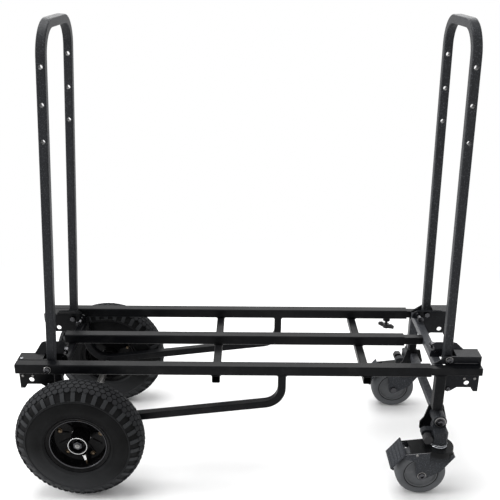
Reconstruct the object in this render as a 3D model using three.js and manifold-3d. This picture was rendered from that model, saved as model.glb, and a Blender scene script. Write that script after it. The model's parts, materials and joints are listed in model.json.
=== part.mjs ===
// Folding equipment cart for stage and film gear.
// Three telescoping deck rails run along X. Two air-filled wheels stand at the left end, and two braked
// swivel casters on folding arms stand at the right end. A U-shaped handle stands at each end of the deck and
// folds in over it. The near side is -Y, up is +Z and the cart stands on z = 0. All lengths are millimetres.

import * as THREE from 'three';
import { mergeVertices } from 'three/addons/utils/BufferGeometryUtils.js';
import Module from 'manifold-3d';

const wasm = await Module();
wasm.setup();

// Overall frame. A place along X is measured from the end of the cart that it belongs to.
const cartLength = 936.8;
const deckWidth = 268.6;
const handleHeight = 659.4;
const seatGap = 0.3;
const overrun = 1;

// Air-filled wheels and their axle
const tyreRadius = 130.7;
const tyreWidth = 66;
const tyreWall = 7;
const wheelGap = 1.2;
const deckOverTyre = 16.1;
const rimRadius = 65.5;
const rimLip = 7.5;
const rimInset = 5;
const rimSheet = 3;
const rimWeb = 4;
const rimWebOffset = 6;
const rimBendShare = 0.5;
const hubRadius = 19.5;
const hubInset = 4;
const hubRecess = 9;
const hubRecessRadius = 16;
const axleRadius = 8;
const axleStubRadius = 5;
const axleCollarRadius = 12;
const axleNutAcross = 18;
const axleNutLength = 8;
const axleProud = 2;

// Deck rails: a fixed outer tube with a sliding inner tube in it
const railSize = 21;
const railWall = 1.8;
const railCorner = 2.4;
const cornerShare = 0.7;
const slideClearance = 0.5;
const innerRailWall = 1.5;
const innerRailCorner = 1.8;
const railSetback = 1.4;
const railStop = 10;
const centreRailSetback = 71;
const centreRailShort = 30;
const slideTravel = 390;
const slideOverlap = 107;

// Small square tube of the cross bars, the braces and the front frame
const barSize = 16;
const barWall = 1.5;
const barCorner = 2.2;
const midBarShare = 0.4322;
const frontBarShare = 0.7562;

// Sled braces under the outer rails
const braceInset = 85.9;
const braceLength = 452;
const braceRearBend = 55;
const braceFrontBend = 38;
const braceOverAxle = 8.57;
const braceAngle = 7.25;

// Handles
const handleTube = 17.2;
const handleWall = 1.6;
const handleCorner = 2.6;
const handleBend = 54;
const handleFoot = 11;
const leftLegGap = 3.55;
const rightLegGap = 8.55;
const leftPivotInset = 66.9;
const rightPivotInset = 64;
const leftPivotDrop = 10.6;
const rightPivotRise = 7.7;
const leftLeanAngle = 3.85;
const rightLeanAngle = 1.23;
const gripHoleRadius = 4.3;
const gripHoleTop = 79;
const gripHolePitch = 66.4;
const gripHoles = 3;
const pivotBoltRadius = 4;
const pivotHeadRadius = 6.2;
const pivotHeadLength = 4.5;

// Folded sheet brackets that carry the handles. u runs inboard from the end of the rails.
const bracketSheet = 3;
const bracketSide = 0.6;
const bracketLength = 71;
const rightWebRise = 15.5;
const webClear = 14.5;
const hookFootDrop = 46;
const hookArchDrop = 36.5;
const hookFootWidth = 9;
const hookFootSlope = 6;
const hookArchEnd = 43;
const bossX = 60.5;
const bossDrop = 38;
const bossRadius = 9;
const tieHoleX = 24;
const tieHoleDrop = 26.5;
const tieHoleRadius = 5.5;
const sideSlopeReach = 24;
const cheekRampStart = 21;
const cheekRampEnd = 49;
const cheekInboard = 96;
const cheekCorner = 11;
const cheekPivotDrop = 24;
const cheekEndDrop = 9;
const flareStart = 29;
const flareEnd = 88;
const flareSlope = 11;
const flareCorner = 6;
const leftFlareReach = 18.4;
const leftFlareRise = 17.8;
const rightFlareReach = 14;
const rightFlareRise = 8;

// Spring plungers that hold the handles up
const lockOffsetX = 20;
const lockOffsetZ = 1.5;
const lockPinRadius = 3;
const lockBarrelRadius = 5.6;
const lockBarrelLength = 9;
const lockKnobRadius = 6.5;
const lockKnobLength = 10;
const lockTravel = 10;

// Casters. Their outlines are shares of the wheel's radius, from the wheel's own middle.
const casterRadius = 51.5;
const casterWidth = 36;
const casterTrail = 33.4;
const casterCore = 34.5;
const casterCoreInset = 2.2;
const casterHubRadius = 11;
const crownRadius = 30;
const crownGap = 9;
const crownDepth = 13;
const forkClear = 1.8;
const forkSheet = 3;
const forkRoofShare = 0.4768;
const forkArmShare = 0.745;
const forkRoofDrop = 9;
const forkBossRadius = 11;
const forkArmDepth = 11;
const forkKneeReach = 4;
const forkKneeDrop = 50;
const casterBoltRadius = 5;
const casterHeadRadius = 7.5;
const casterHeadLength = 4;
const pedalPinShares = [0.6788, 0.899];
const pedalBottomShares = [1.245, 0.379];
const pedalTopShares = [0.73, 1.058];
const pedalPinRadius = 3;
const pedalOverhang = 5.5;
const pedalSheet = 3;
const pedalLipDepth = 5;
const pedalArmSheet = 3;
const pedalRibs = 5;
const pedalRibHeight = 1.2;

// Folding caster arms, measured up from the underside of the swivel block and out from the rail's middle
const swivelReach = 32.7;
const knuckleRadius = 14;
const knuckleReach = 23.2;
const raceGap = 8.5;
const blockWidth = 28;
const blockHeight = 28;
const blockReach = 46.2;
const blockBackReach = 19.2;
const foldRise = 39.5;
const foldBoltRadius = 5;
const foldHeadRadius = 9;
const foldHeadLength = 6;
const plungerBack = 26;
const plungerRise = 10.5;
const plungerEarRadius = 9.5;
const plungerPinRadius = 3;
const plungerKnobRadius = 10.2;
const plungerLobe = 5.5;
const plungerHoleDepth = 3;
const plungerKnobLength = 14;
const plungerTravel = 8;
const kingpinRadius = 6;
const kingpinRise = 22.5;
const raceRadius = 17;
const raceGroove = 2;

// Front frame below the rails
const legSize = 20;
const legInset = 81.4;
const legRise = 18;
const frontTubeOffset = 2;
const foldOffset = 4;
const swivelOffset = 3;
const foldPlateSheet = 4;
const foldPlateRise = 17;
const foldPlateWeld = 40;
const foldPlateDrop = 43;
const foldPlateBack = 24;
const foldPlateFront = 22;

// Clamp knob under the far rail
const knobInset = 44;
const knobBossRadius = 8;
const knobBossLength = 8.5;
const knobScrewRadius = 3;
const knobHubRadius = 7;
const knobHubLength = 9;
const knobNeck = 9;
const knobWingSpan = 38;
const knobWingThick = 4.5;
const knobWingHeight = 11;
const knobAngle = 35;

// Sizes that follow from the ones above
const half = cartLength / 2;
const deckTop = tyreRadius * 2 + deckOverTyre;
const handleTop = deckTop + handleHeight;
const railBottom = deckTop - railSize;
const railMid = deckTop - railSize / 2;
const railY = deckWidth / 2 - railSize / 2;
const innerSize = railSize - 2 * railWall - 2 * slideClearance;
const legX = half - legInset;
const outerLeft = -half + railSetback;
const outerRight = legX - legSize / 2 - railStop;
const centreLeft = outerLeft + centreRailSetback;
const centreRight = outerRight - centreRailShort;
const innerLeft = outerRight - slideTravel - slideOverlap;
const innerCentreLeft = centreRight - slideTravel - slideOverlap;
const innerRight = half;
const barTop = railBottom - seatGap;
const wheelX = -half + tyreRadius;
const wheelY = deckWidth / 2 + wheelGap + tyreWidth / 2;
const rimWidth = tyreWidth - rimInset * 2;
const rimBed = rimRadius - rimLip;
const hubLength = tyreWidth - hubInset * 2;
const braceRearX = -half + braceInset;
const braceFrontX = braceRearX + braceLength;
const leftLegOuter = railY - railSize / 2 - seatGap - bracketSheet - leftLegGap;
const rightLegOuter = railY - innerSize / 2 - seatGap - bracketSheet - rightLegGap;
const leftHandleX = -half + leftPivotInset;
const rightHandleX = half - rightPivotInset;
const leftPivotZ = deckTop - leftPivotDrop;
const rightPivotZ = deckTop + rightPivotRise;
const casterTop = casterRadius * 2;
const crownTop = casterTop + crownGap;
const blockBottom = crownTop + raceGap;
const blockTop = blockBottom + blockHeight;
const kingpinTop = blockBottom + kingpinRise;
const swivelX = legX + swivelOffset;
const swivelY = railY + swivelReach;
const forkWidth = casterWidth + 2 * (forkClear + forkSheet);
const forkRoofEnd = casterTrail + casterRadius * forkRoofShare;
const forkArmEnd = casterTrail + casterRadius * forkArmShare;
const foldX = legX + foldOffset;
const foldZ = blockBottom + foldRise;
const plungerX = foldX - plungerBack;
const plungerZ = blockBottom + plungerRise;
const knuckleFront = railY + knuckleReach;
const frontTubeX = legX - frontTubeOffset;
const foldPlateY = railY - legSize / 2 - seatGap;
const knobX = outerRight - knobInset;

const degrees = (angle) => THREE.MathUtils.degToRad(angle);

// Materials, one of its own for each piece
const finishes = {
  coat: { color: 0x17181a, roughness: 0.42, metalness: 0.35 },
  casting: { color: 0x2c2e31, roughness: 0.5, metalness: 0.4 },
  zinc: { color: 0xb9bcc0, roughness: 0.28, metalness: 0.95 },
  tyre: { color: 0x232425, roughness: 0.82, metalness: 0 },
  gloss: { color: 0x0c0c0d, roughness: 0.18, metalness: 0.3 },
  plastic: { color: 0x1c1d1f, roughness: 0.6, metalness: 0 },
  grey: { color: 0x44474a, roughness: 0.65, metalness: 0 },
};

// Solids: a closed geometry becomes a solid to be joined and cut, and a solid becomes a geometry again
function solid(geometry) {
  const bare = geometry.clone();
  bare.deleteAttribute('normal');
  bare.deleteAttribute('uv');
  const merged = mergeVertices(bare, seatGap / 1000);
  return new wasm.Manifold(new wasm.Mesh({
    numProp: 3,
    vertProperties: new Float32Array(merged.attributes.position.array),
    triVerts: new Uint32Array(merged.index.array),
  }));
}

function skin(body) {
  const mesh = body.getMesh();
  const geometry = new THREE.BufferGeometry();
  const places = new Float32Array(mesh.numVert * 3);
  for (let i = 0; i < mesh.numVert; i += 1) {
    for (let k = 0; k < 3; k += 1) places[i * 3 + k] = mesh.vertProperties[i * mesh.numProp + k];
  }
  geometry.setAttribute('position', new THREE.BufferAttribute(places, 3));
  geometry.setIndex(new THREE.BufferAttribute(new Uint32Array(mesh.triVerts), 1));
  geometry.computeVertexNormals();
  return geometry;
}

const join = (...bodies) => bodies.reduce((a, b) => a.add(b));
const cut = (body, ...tools) => tools.reduce((a, b) => a.subtract(b), body);

// Basic closed forms
function block(x0, x1, y0, y1, z0, z1) {
  const box = new THREE.BoxGeometry(x1 - x0, y1 - y0, z1 - z0);
  return solid(box.translate((x0 + x1) / 2, (y0 + y1) / 2, (z0 + z1) / 2));
}

function rodY(radius, x, z, y0, y1, sides = 14) {
  const rod = new THREE.CylinderGeometry(radius, radius, Math.abs(y1 - y0), sides);
  return solid(rod.translate(x, (y0 + y1) / 2, z));
}

function rodZ(radius, x, y, z0, z1, sides = 14) {
  const rod = new THREE.CylinderGeometry(radius, radius, z1 - z0, sides).rotateX(Math.PI / 2);
  return solid(rod.translate(x, y, (z0 + z1) / 2));
}

// A plate drawn in X and Z and given a thickness along Y
function plate(shape, y0, y1, curveSegments = 3) {
  const low = Math.min(y0, y1);
  const high = Math.max(y0, y1);
  const sheet = new THREE.ExtrudeGeometry(shape, { depth: high - low, bevelEnabled: false, curveSegments });
  return solid(sheet.rotateX(Math.PI / 2).translate(0, high, 0));
}

// A form turned about the Y axis from a closed profile of radius and place
function turned(profile, sides = 24) {
  const points = profile.map(([radius, place]) => new THREE.Vector2(radius, place));
  if (THREE.ShapeUtils.area(points) < 0) points.reverse();
  points.push(points[0].clone());
  return solid(new THREE.LatheGeometry(points, sides));
}

// Square tube section: outer corners eased by a chamfer, inner ones left square
function squarePath(size, ease, path) {
  const s = size / 2;
  const c = s - ease;
  const corners = [[s, -c], [s, c], [c, s], [-c, s], [-s, c], [-s, -c], [-c, -s], [c, -s]];
  const points = corners.map(([x, y]) => new THREE.Vector2(x, y));
  return path.setFromPoints(ease > 0 ? points : points.filter((point, i) => i % 2));
}

function tubeSection(size, wall, corner) {
  const section = squarePath(size, corner * cornerShare, new THREE.Shape());
  section.holes.push(squarePath(size - 2 * wall, 0, new THREE.Path()));
  return section;
}

function tubeAlong(axis, size, wall, corner, from, to) {
  const run = new THREE.ExtrudeGeometry(tubeSection(size, wall, corner), {
    depth: to - from, bevelEnabled: false,
  }).translate(0, 0, from);
  if (axis === 'x') run.rotateY(Math.PI / 2);
  if (axis === 'y') run.rotateX(-Math.PI / 2);
  return solid(run);
}

// A run of tube in one plane: straight stretches joined by bends, with a station at each end of a bend
class TubeRun extends THREE.Curve {
  constructor(corners, bends, across, stepsPerBend) {
    super();
    this.across = across;
    this.stations = [{ point: corners[0], along: corners[1].clone().sub(corners[0]).normalize() }];
    for (let i = 1; i < corners.length - 1; i += 1) {
      const before = corners[i].clone().sub(corners[i - 1]).normalize();
      const after = corners[i + 1].clone().sub(corners[i]).normalize();
      const turn = before.angleTo(after);
      const reach = bends[i - 1] * Math.tan(turn / 2);
      const start = corners[i].clone().addScaledVector(before, -reach);
      const inward = after.clone().addScaledVector(before, -Math.cos(turn)).normalize();
      for (let k = 0; k <= stepsPerBend; k += 1) {
        const angle = turn * k / stepsPerBend;
        const point = start.clone()
          .addScaledVector(before, bends[i - 1] * Math.sin(angle))
          .addScaledVector(inward, bends[i - 1] * (1 - Math.cos(angle)));
        const along = before.clone().multiplyScalar(Math.cos(angle)).addScaledVector(inward, Math.sin(angle));
        this.stations.push({ point, along });
      }
    }
    const last = corners[corners.length - 1];
    const back = last.clone().sub(corners[corners.length - 2]).normalize();
    this.stations.push({ point: last, along: back });
  }

  getSpacedPoints() {
    return this.stations.map((station) => station.point.clone());
  }

  computeFrenetFrames() {
    const tangents = this.stations.map((station) => station.along.clone());
    const binormals = tangents.map(() => this.across.clone());
    const normals = tangents.map((along) => this.across.clone().cross(along));
    return { tangents, normals, binormals };
  }
}

function bentTube(run, size, wall, corner) {
  return solid(new THREE.ExtrudeGeometry(tubeSection(size, wall, corner), {
    extrudePath: run, steps: run.stations.length - 1, bevelEnabled: false,
  }));
}

// The cart: a group of named meshes
const cart = new THREE.Group();

function add(name, body, finish, parent = cart) {
  const material = new THREE.MeshStandardMaterial({ ...finishes[finish] });
  const mesh = new THREE.Mesh(skin(body), material);
  mesh.name = name;
  parent.add(mesh);
  return mesh;
}

const sides = [{ name: 'near', sign: -1 }, { name: 'far', sign: 1 }];

// Outer rails, drilled for the handle pivots, and the far one with its clamp boss
function outerRails() {
  for (const { name, sign } of sides) {
    let rail = tubeAlong('x', railSize, railWall, railCorner, outerLeft, outerRight)
      .translate([0, sign * railY, railMid]);
    rail = cut(rail, rodY(pivotBoltRadius + seatGap * 2, leftHandleX, leftPivotZ,
      sign * railY - railSize, sign * railY + railSize));
    if (sign > 0) {
      const boss = rodZ(knobBossRadius, knobX, railY, railBottom - knobBossLength, railBottom + railWall / 2);
      rail = cut(join(rail, boss), rodZ(knobScrewRadius + seatGap * 2, knobX, railY,
        railBottom - knobBossLength - overrun, railBottom + railWall + overrun));
    }
    add(`outer_rail_${name}`, rail, 'coat');
  }
  add('outer_rail_centre', tubeAlong('x', railSize, railWall, railCorner, centreLeft, centreRight)
    .translate([0, 0, railMid]), 'coat');
}

function crossBars() {
  const braceFace = railY - barSize / 2 - seatGap;
  const bars = [
    ['rear_cross_tube', braceRearX, braceFace],
    ['cross_bar_mid', cartLength * midBarShare - half, deckWidth / 2],
    ['cross_bar_front', cartLength * frontBarShare - half, deckWidth / 2],
  ];
  for (const [name, x, reach] of bars) {
    add(name, tubeAlong('y', barSize, barWall, barCorner, -reach, reach)
      .translate([x, 0, barTop - barSize / 2]), 'coat');
  }
}

// Sled braces: square tube down from the rail, along the axle, and up to the rail again
const braceSlope = Math.tan(degrees(braceAngle));
const braceZ = (x) => tyreRadius + braceOverAxle + braceSlope * (x - wheelX);

function sledBraces() {
  const corners = [
    new THREE.Vector3(braceRearX, 0, barTop),
    new THREE.Vector3(braceRearX, 0, braceZ(braceRearX)),
    new THREE.Vector3(braceFrontX, 0, braceZ(braceFrontX)),
    new THREE.Vector3(braceFrontX, 0, barTop),
  ];
  const across = new THREE.Vector3(0, -1, 0);
  const stepsPerBend = 5;
  const run = new TubeRun(corners, [braceRearBend, braceFrontBend], across, stepsPerBend);
  const tube = bentTube(run, barSize, barWall, barCorner);
  for (const { name, sign } of sides) {
    const brace = cut(tube.translate([0, sign * railY, 0]), rodY(axleRadius + seatGap, wheelX, tyreRadius,
      sign * railY - barSize, sign * railY + barSize));
    add(`sled_brace_${name}`, brace, 'coat');
  }
}

// Axle: one bar through both braces, with a collar inboard of each wheel and a nut on each end
function axle() {
  const braceFace = railY + barSize / 2;
  const hubInboard = wheelY - hubLength / 2;
  const nutInner = wheelY + hubLength / 2 - hubRecess + seatGap;
  const nutOuter = nutInner + axleNutLength;
  const shoulder = nutInner - seatGap;
  let bar = join(
    rodY(axleRadius, wheelX, tyreRadius, -shoulder, shoulder),
    rodY(axleStubRadius, wheelX, tyreRadius, -nutOuter - axleProud, nutOuter + axleProud));
  for (const { sign } of sides) {
    bar = join(bar, rodY(axleCollarRadius, wheelX, tyreRadius,
      sign * (braceFace + seatGap), sign * (hubInboard - seatGap)));
  }
  add('axle', bar, 'zinc');
  for (const { name, sign } of sides) {
    const nut = rodY(axleNutAcross / 2, wheelX, tyreRadius, sign * nutInner, sign * nutOuter, 6);
    add(`axle_nut_${name}`, cut(nut, rodY(axleStubRadius + seatGap, wheelX, tyreRadius,
      sign * (nutInner - overrun), sign * (nutOuter + overrun))), 'coat');
  }
}

// Tyre section: the beads lie on the rim bed, and the rest is given as shares of the tyre's half width and
// of its height over the bed
const tyreOutlineShares = [[1.0, 0.4], [0.94, 0.68], [0.74, 0.92], [0.3, 1.0]];
const tyreSides = 28;
const cavityShares = [[0.96, 0.3], [0.92, 0.72], [0.4, 1.0]];

function tyreProfile() {
  const halfWidth = tyreWidth / 2;
  const height = tyreRadius - rimBed - seatGap;
  const bead = rimBed + seatGap;
  const beadHalf = rimWidth / 2 - 2 * rimSheet - seatGap;
  const line = (shares, wall) => shares.map(([across, up]) => [
    bead + up * (height - wall), across * (halfWidth - wall)]);
  const mirrored = (points) => points.slice().reverse().map(([radius, across]) => [radius, -across]);
  const closed = (points) => [...points, ...mirrored(points)];
  const flange = [rimRadius + seatGap, rimWidth / 2 - seatGap];
  const outside = [[bead, beadHalf], flange, ...line(tyreOutlineShares, 0)];
  const inside = [[bead, beadHalf - tyreWall], ...line(cavityShares, tyreWall)];
  return [...closed(outside), ...closed(inside).reverse()];
}

// Rim: a bed with a rolled lip on each side, and a dished web
function rim() {
  const w = rimWidth / 2;
  const bore = hubRadius + seatGap;
  const inside = rimBed - rimSheet;
  const bend = hubRadius + (inside - hubRadius) * rimBendShare;
  const lip = rimRadius - rimSheet;
  const low = rimWebOffset;
  return turned([
    [bore, low], [bend, low - rimWeb], [inside, -rimWeb], [inside, rimSheet - w], [lip, -w],
    [rimRadius, -w], [rimBed, rimSheet * 2 - w], [rimBed, w - rimSheet * 2], [rimRadius, w],
    [lip, w], [inside, w - rimSheet], [inside, 0], [bend, low], [bore, low + rimWeb],
  ], tyreSides);
}

function hub() {
  const h = hubLength / 2;
  const bore = axleRadius + seatGap;
  const bevel = (hubRadius - hubRecessRadius) / 2;
  return turned([
    [bore, -h + hubRecess], [hubRecessRadius, -h + hubRecess], [hubRecessRadius, -h],
    [hubRadius - bevel, -h], [hubRadius, -h + bevel], [hubRadius, h], [bore, h],
  ], 20);
}

function wheels() {
  const tyre = turned(tyreProfile(), tyreSides);
  const parts = [['tyre', tyre, 'tyre'], ['rim', rim(), 'gloss'], ['hub', hub(), 'gloss']];
  for (const { name, sign } of sides) {
    const wheel = new THREE.Group();
    wheel.position.set(wheelX, sign * wheelY, tyreRadius);
    wheel.rotation.z = sign > 0 ? Math.PI : 0;
    for (const [part, body, finish] of parts) add(`wheel_${part}_${name}`, body, finish, wheel);
    cart.add(wheel);
  }
}

// Handle bracket: two cheeks of folded sheet joined by a web, that the handle leg stands and swings in.
// The outer cheek hangs below the rail as a hook, and the inner one is flared inboard along its top.
function bracketGeometry(end, sign) {
  const left = end === 'rear';
  const outer = left ? leftLegOuter : rightLegOuter;
  const pivotX = left ? leftHandleX : rightHandleX;
  const pivotZ = left ? leftPivotZ : rightPivotZ;
  const endX = left ? outerLeft : innerRight;
  const inward = left ? 1 : -1;
  const tube = left ? railSize : innerSize;
  const outerFace = railY - tube / 2 - seatGap;
  const innerFace = outer - handleTube - bracketSide - bracketSheet;
  const webTop = left ? deckTop : deckTop + rightWebRise;
  const flare = left ? [leftFlareReach, leftFlareRise] : [rightFlareReach, rightFlareRise];
  const shelf = (left ? barTop : railMid + innerSize / 2) + seatGap;
  const under = railMid - tube / 2;
  const place = (u) => endX + inward * u;
  return {
    left, sign, outer, pivotX, pivotZ, inward, outerFace, innerFace, webTop, flare, shelf, under, place,
  };
}

function outerCheek(g) {
  const { place, under } = g;
  const round = bossRadius * Math.SQRT1_2;
  const bossZ = under - bossDrop;
  const shape = new THREE.Shape();
  shape.moveTo(place(0), g.webTop);
  shape.lineTo(place(0), under - hookFootDrop);
  shape.lineTo(place(hookFootWidth), under - hookFootDrop);
  shape.lineTo(place(hookFootWidth + hookFootSlope), under - hookArchDrop);
  shape.lineTo(place(hookArchEnd), under - hookArchDrop);
  shape.lineTo(place(bossX - round), bossZ - round);
  shape.lineTo(place(bossX), bossZ - bossRadius);
  shape.lineTo(place(bossX + round), bossZ - round);
  shape.lineTo(place(bracketLength), bossZ);
  if (g.left) {
    shape.lineTo(place(bracketLength), g.webTop);
  } else {
    shape.lineTo(place(bracketLength), g.shelf + seatGap);
    shape.lineTo(place(bracketLength + sideSlopeReach), g.shelf + seatGap);
    shape.lineTo(place(bracketLength), g.webTop);
  }
  return shape;
}

function innerCheek(g) {
  const { place } = g;
  const c = cheekCorner * (1 - Math.SQRT1_2);
  const low = g.pivotZ - cheekPivotDrop;
  const shape = new THREE.Shape();
  shape.moveTo(place(0), g.webTop);
  shape.lineTo(place(0), g.pivotZ - cheekEndDrop);
  shape.lineTo(place(cheekRampStart), g.pivotZ - cheekEndDrop);
  shape.lineTo(place(cheekRampEnd), low + c);
  shape.lineTo(place(bossX), low);
  shape.lineTo(place(bracketLength), low);
  shape.lineTo(place(bracketLength), g.shelf);
  shape.lineTo(place(cheekInboard), g.shelf);
  shape.lineTo(place(cheekInboard), g.webTop - cheekCorner);
  shape.lineTo(place(cheekInboard - c), g.webTop - c);
  shape.lineTo(place(cheekInboard - cheekCorner), g.webTop);
  return shape;
}

// Flare: drawn upright on the top edge of the inner cheek, then leaned inboard about that edge
function flaredLip(g) {
  const { place, sign } = g;
  const [reach, rise] = g.flare;
  const length = Math.hypot(reach, rise);
  const lean = THREE.MathUtils.radToDeg(Math.atan2(reach, rise));
  const c = flareCorner * (1 - Math.SQRT1_2);
  const root = g.webTop - seatGap * 2;
  const tip = root + length;
  const middle = g.innerFace + bracketSheet / 2;
  const shape = new THREE.Shape();
  shape.moveTo(place(flareStart), root);
  shape.lineTo(place(flareStart + flareSlope), tip - c);
  shape.lineTo(place(flareStart + flareSlope + flareCorner), tip);
  shape.lineTo(place(flareEnd - flareCorner), tip);
  shape.lineTo(place(flareEnd - c), tip - c);
  shape.lineTo(place(flareEnd), tip - flareCorner);
  shape.lineTo(place(flareEnd), root);
  return plate(shape, -bracketSheet / 2, bracketSheet / 2)
    .translate([0, 0, -root]).rotate([sign * lean, 0, 0]).translate([0, sign * middle, root]);
}

const ordered = (a, b) => [Math.min(a, b), Math.max(a, b)];

function bracket(end, sign) {
  const g = bracketGeometry(end, sign);
  const cheeks = join(
    plate(outerCheek(g), sign * (g.outerFace - bracketSheet), sign * g.outerFace),
    plate(innerCheek(g), sign * g.innerFace, sign * (g.innerFace + bracketSheet)),
    flaredLip(g));
  const span = ordered(sign * g.innerFace, sign * g.outerFace);
  const webEnd = g.pivotX - g.inward * webClear;
  const web = block(...ordered(g.place(0), webEnd), ...span, g.webTop - bracketSheet, g.webTop);
  const flangeX = ordered(g.place(0), g.place(bracketSheet));
  const flange = block(...flangeX, ...span, g.pivotZ - cheekEndDrop, g.webTop);
  const lockX = g.pivotX + g.inward * lockOffsetX;
  const lockZ = g.pivotZ + lockOffsetZ;
  const barrelBack = g.innerFace - lockBarrelLength;
  const barrel = rodY(lockBarrelRadius, lockX, lockZ, sign * barrelBack, sign * (g.innerFace + bracketSheet));
  const y0 = sign * (barrelBack - overrun);
  const y1 = sign * (g.outerFace + overrun);
  const tieZ = g.under - tieHoleDrop;
  return cut(join(cheeks, web, flange, barrel),
    rodY(pivotBoltRadius + seatGap, g.pivotX, g.pivotZ, y0, y1),
    rodY(tieHoleRadius, g.place(tieHoleX), tieZ, y0, y1),
    rodY(lockPinRadius + seatGap, lockX, lockZ, y0, sign * (g.innerFace + bracketSheet + overrun), 14));
}

// Bolt along Y from a round head to a hexagon nut
function bolt(x, z, sign, headFace, nutFace, radius, headRadius, headLength) {
  return join(
    rodY(radius, x, z, sign * (nutFace - headLength / 2), sign * (headFace + headLength / 2), 10),
    rodY(headRadius, x, z, sign * headFace, sign * (headFace + headLength), 12),
    rodY(headRadius, x, z, sign * (nutFace - headLength), sign * nutFace, 6));
}

// Pivot bolt of a handle leg, with the sleeve that centres the leg between the cheeks
function pivotBolt(end, sign) {
  const g = bracketGeometry(end, sign);
  const headFace = (g.left ? deckWidth / 2 : g.outerFace) + seatGap;
  const body = bolt(g.pivotX, g.pivotZ, sign, headFace, g.innerFace - seatGap,
    pivotBoltRadius, pivotHeadRadius, pivotHeadLength);
  const sleeve = rodY(pivotHeadRadius, g.pivotX, g.pivotZ,
    sign * (g.outer + seatGap), sign * (g.outerFace - bracketSheet - seatGap), 12);
  return join(body, sleeve);
}

function brackets() {
  for (const end of ['rear', 'front']) {
    for (const { name, sign } of sides) {
      add(`${end}_bracket_${name}`, bracket(end, sign), 'coat');
      add(`${end}_pivot_bolt_${name}`, pivotBolt(end, sign), 'zinc');
    }
  }
}

// Handle: one square tube bent to a U and drilled near the top.
// It is drawn about its own pivot line and then set in place and leaned.
function handle(name, width, x, pivotZ, lean) {
  const legY = width / 2 - handleTube / 2;
  const tilt = degrees(Math.abs(lean));
  const edge = handleTube / 2 - handleCorner * cornerShare;
  const top = (handleTop - pivotZ - edge * Math.sin(tilt)) / Math.cos(tilt) - handleTube / 2;
  const corners = [
    new THREE.Vector3(0, -legY, -handleFoot), new THREE.Vector3(0, -legY, top),
    new THREE.Vector3(0, legY, top), new THREE.Vector3(0, legY, -handleFoot),
  ];
  const stepsPerBend = 5;
  const run = new TubeRun(corners, [handleBend, handleBend], new THREE.Vector3(1, 0, 0), stepsPerBend);
  const body = bentTube(run, handleTube, handleWall, handleCorner);
  const cutters = [rodY(pivotBoltRadius + seatGap, 0, 0, -width, width, 10)];
  for (let i = 0; i < gripHoles; i += 1) {
    const z = top + handleTube / 2 - gripHoleTop - i * gripHolePitch;
    cutters.push(rodY(gripHoleRadius, 0, z, -width, width, 8));
  }
  const mesh = add(name, cut(body, ...cutters), 'coat');
  mesh.position.set(x, 0, pivotZ);
  mesh.rotation.y = degrees(lean);
}

// Spring plungers of the handles: a pull knob and a pin, parked in their barrels
function lockPins() {
  for (const end of ['rear', 'front']) {
    for (const { name, sign } of sides) {
      const g = bracketGeometry(end, sign);
      const x = g.pivotX + g.inward * lockOffsetX;
      const z = g.pivotZ + lockOffsetZ;
      const knobFace = g.innerFace - lockBarrelLength - lockTravel - seatGap;
      const knobMid = knobFace - lockKnobLength / 2;
      const knob = join(
        rodY(lockKnobRadius, x, z, sign * (knobFace - lockKnobLength), sign * knobFace, 12),
        rodY(lockPinRadius, x, z, sign * knobMid, sign * (g.innerFace + bracketSheet), 8));
      add(`${end}_lock_pin_${name}`, knob, 'zinc');
    }
  }
}

// Front frame: inner rails, cross tubes, caster legs and the plates that the caster arms fold on
function frontFrame() {
  const tube = (from, to) => tubeAlong('x', innerSize, innerRailWall, innerRailCorner, from, to);
  for (const { name, sign } of sides) {
    add(`inner_rail_${name}`, tube(innerLeft, innerRight).translate([0, sign * railY, railMid]), 'coat');
  }
  const tubeBack = frontTubeX - innerSize / 2 - seatGap;
  add('inner_rail_centre', tube(innerCentreLeft, tubeBack).translate([0, 0, railMid]), 'coat');
  const reach = railY - innerSize / 2 - seatGap;
  add('front_cross_tube', tubeAlong('y', innerSize, innerRailWall, innerRailCorner, -reach, reach)
    .translate([frontTubeX, 0, railMid]), 'coat');
  const plateInner = foldPlateY - foldPlateSheet;
  const pivotTube = tubeAlong('y', barSize, barWall, barCorner, -plateInner + seatGap, plateInner - seatGap)
    .translate([foldX, 0, foldZ]);
  add('lower_cross_tube', pivotTube, 'coat');
  const legTop = railMid - innerSize / 2 - seatGap;
  const leg = tubeAlong('z', legSize, barWall, barCorner, foldZ + legRise, legTop);
  for (const { name, sign } of sides) {
    add(`caster_leg_${name}`, leg.translate([legX, sign * railY, 0]), 'coat');
    add(`fold_plate_${name}`, foldPlate(sign), 'coat');
  }
}

function foldPlate(sign) {
  const taper = foldPlateSheet * 2;
  const top = foldZ + foldPlateRise;
  const bottom = foldZ - foldPlateDrop;
  const middle = (top + bottom) / 2;
  const left = foldX - foldPlateBack;
  const right = foldX + foldPlateFront;
  const tab = legSize / 2 - barCorner;
  const shape = new THREE.Shape();
  shape.moveTo(left + taper, top);
  shape.lineTo(left, middle);
  shape.lineTo(plungerX - plungerLobe, plungerZ + plungerLobe);
  shape.lineTo(plungerX - plungerLobe, bottom + taper / 2);
  shape.lineTo(plungerX - plungerLobe + taper / 2, bottom);
  shape.lineTo(foldX - taper, bottom);
  shape.lineTo(right - taper, middle - taper);
  shape.lineTo(right, middle);
  shape.lineTo(right - taper, top);
  shape.lineTo(legX + tab, top);
  shape.lineTo(legX + tab, foldZ + foldPlateWeld);
  shape.lineTo(legX - tab, foldZ + foldPlateWeld);
  shape.lineTo(legX - tab, top);
  const y0 = sign * (foldPlateY - foldPlateSheet);
  const y1 = sign * foldPlateY;
  const past = sign * overrun;
  return cut(plate(shape, y0, y1),
    rodY(foldBoltRadius + seatGap, foldX, foldZ, y0 - past, y1 + past),
    rodY(plungerPinRadius + seatGap * 2, plungerX, plungerZ, y1 - sign * plungerHoleDepth, y1 + past, 14));
}

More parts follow.
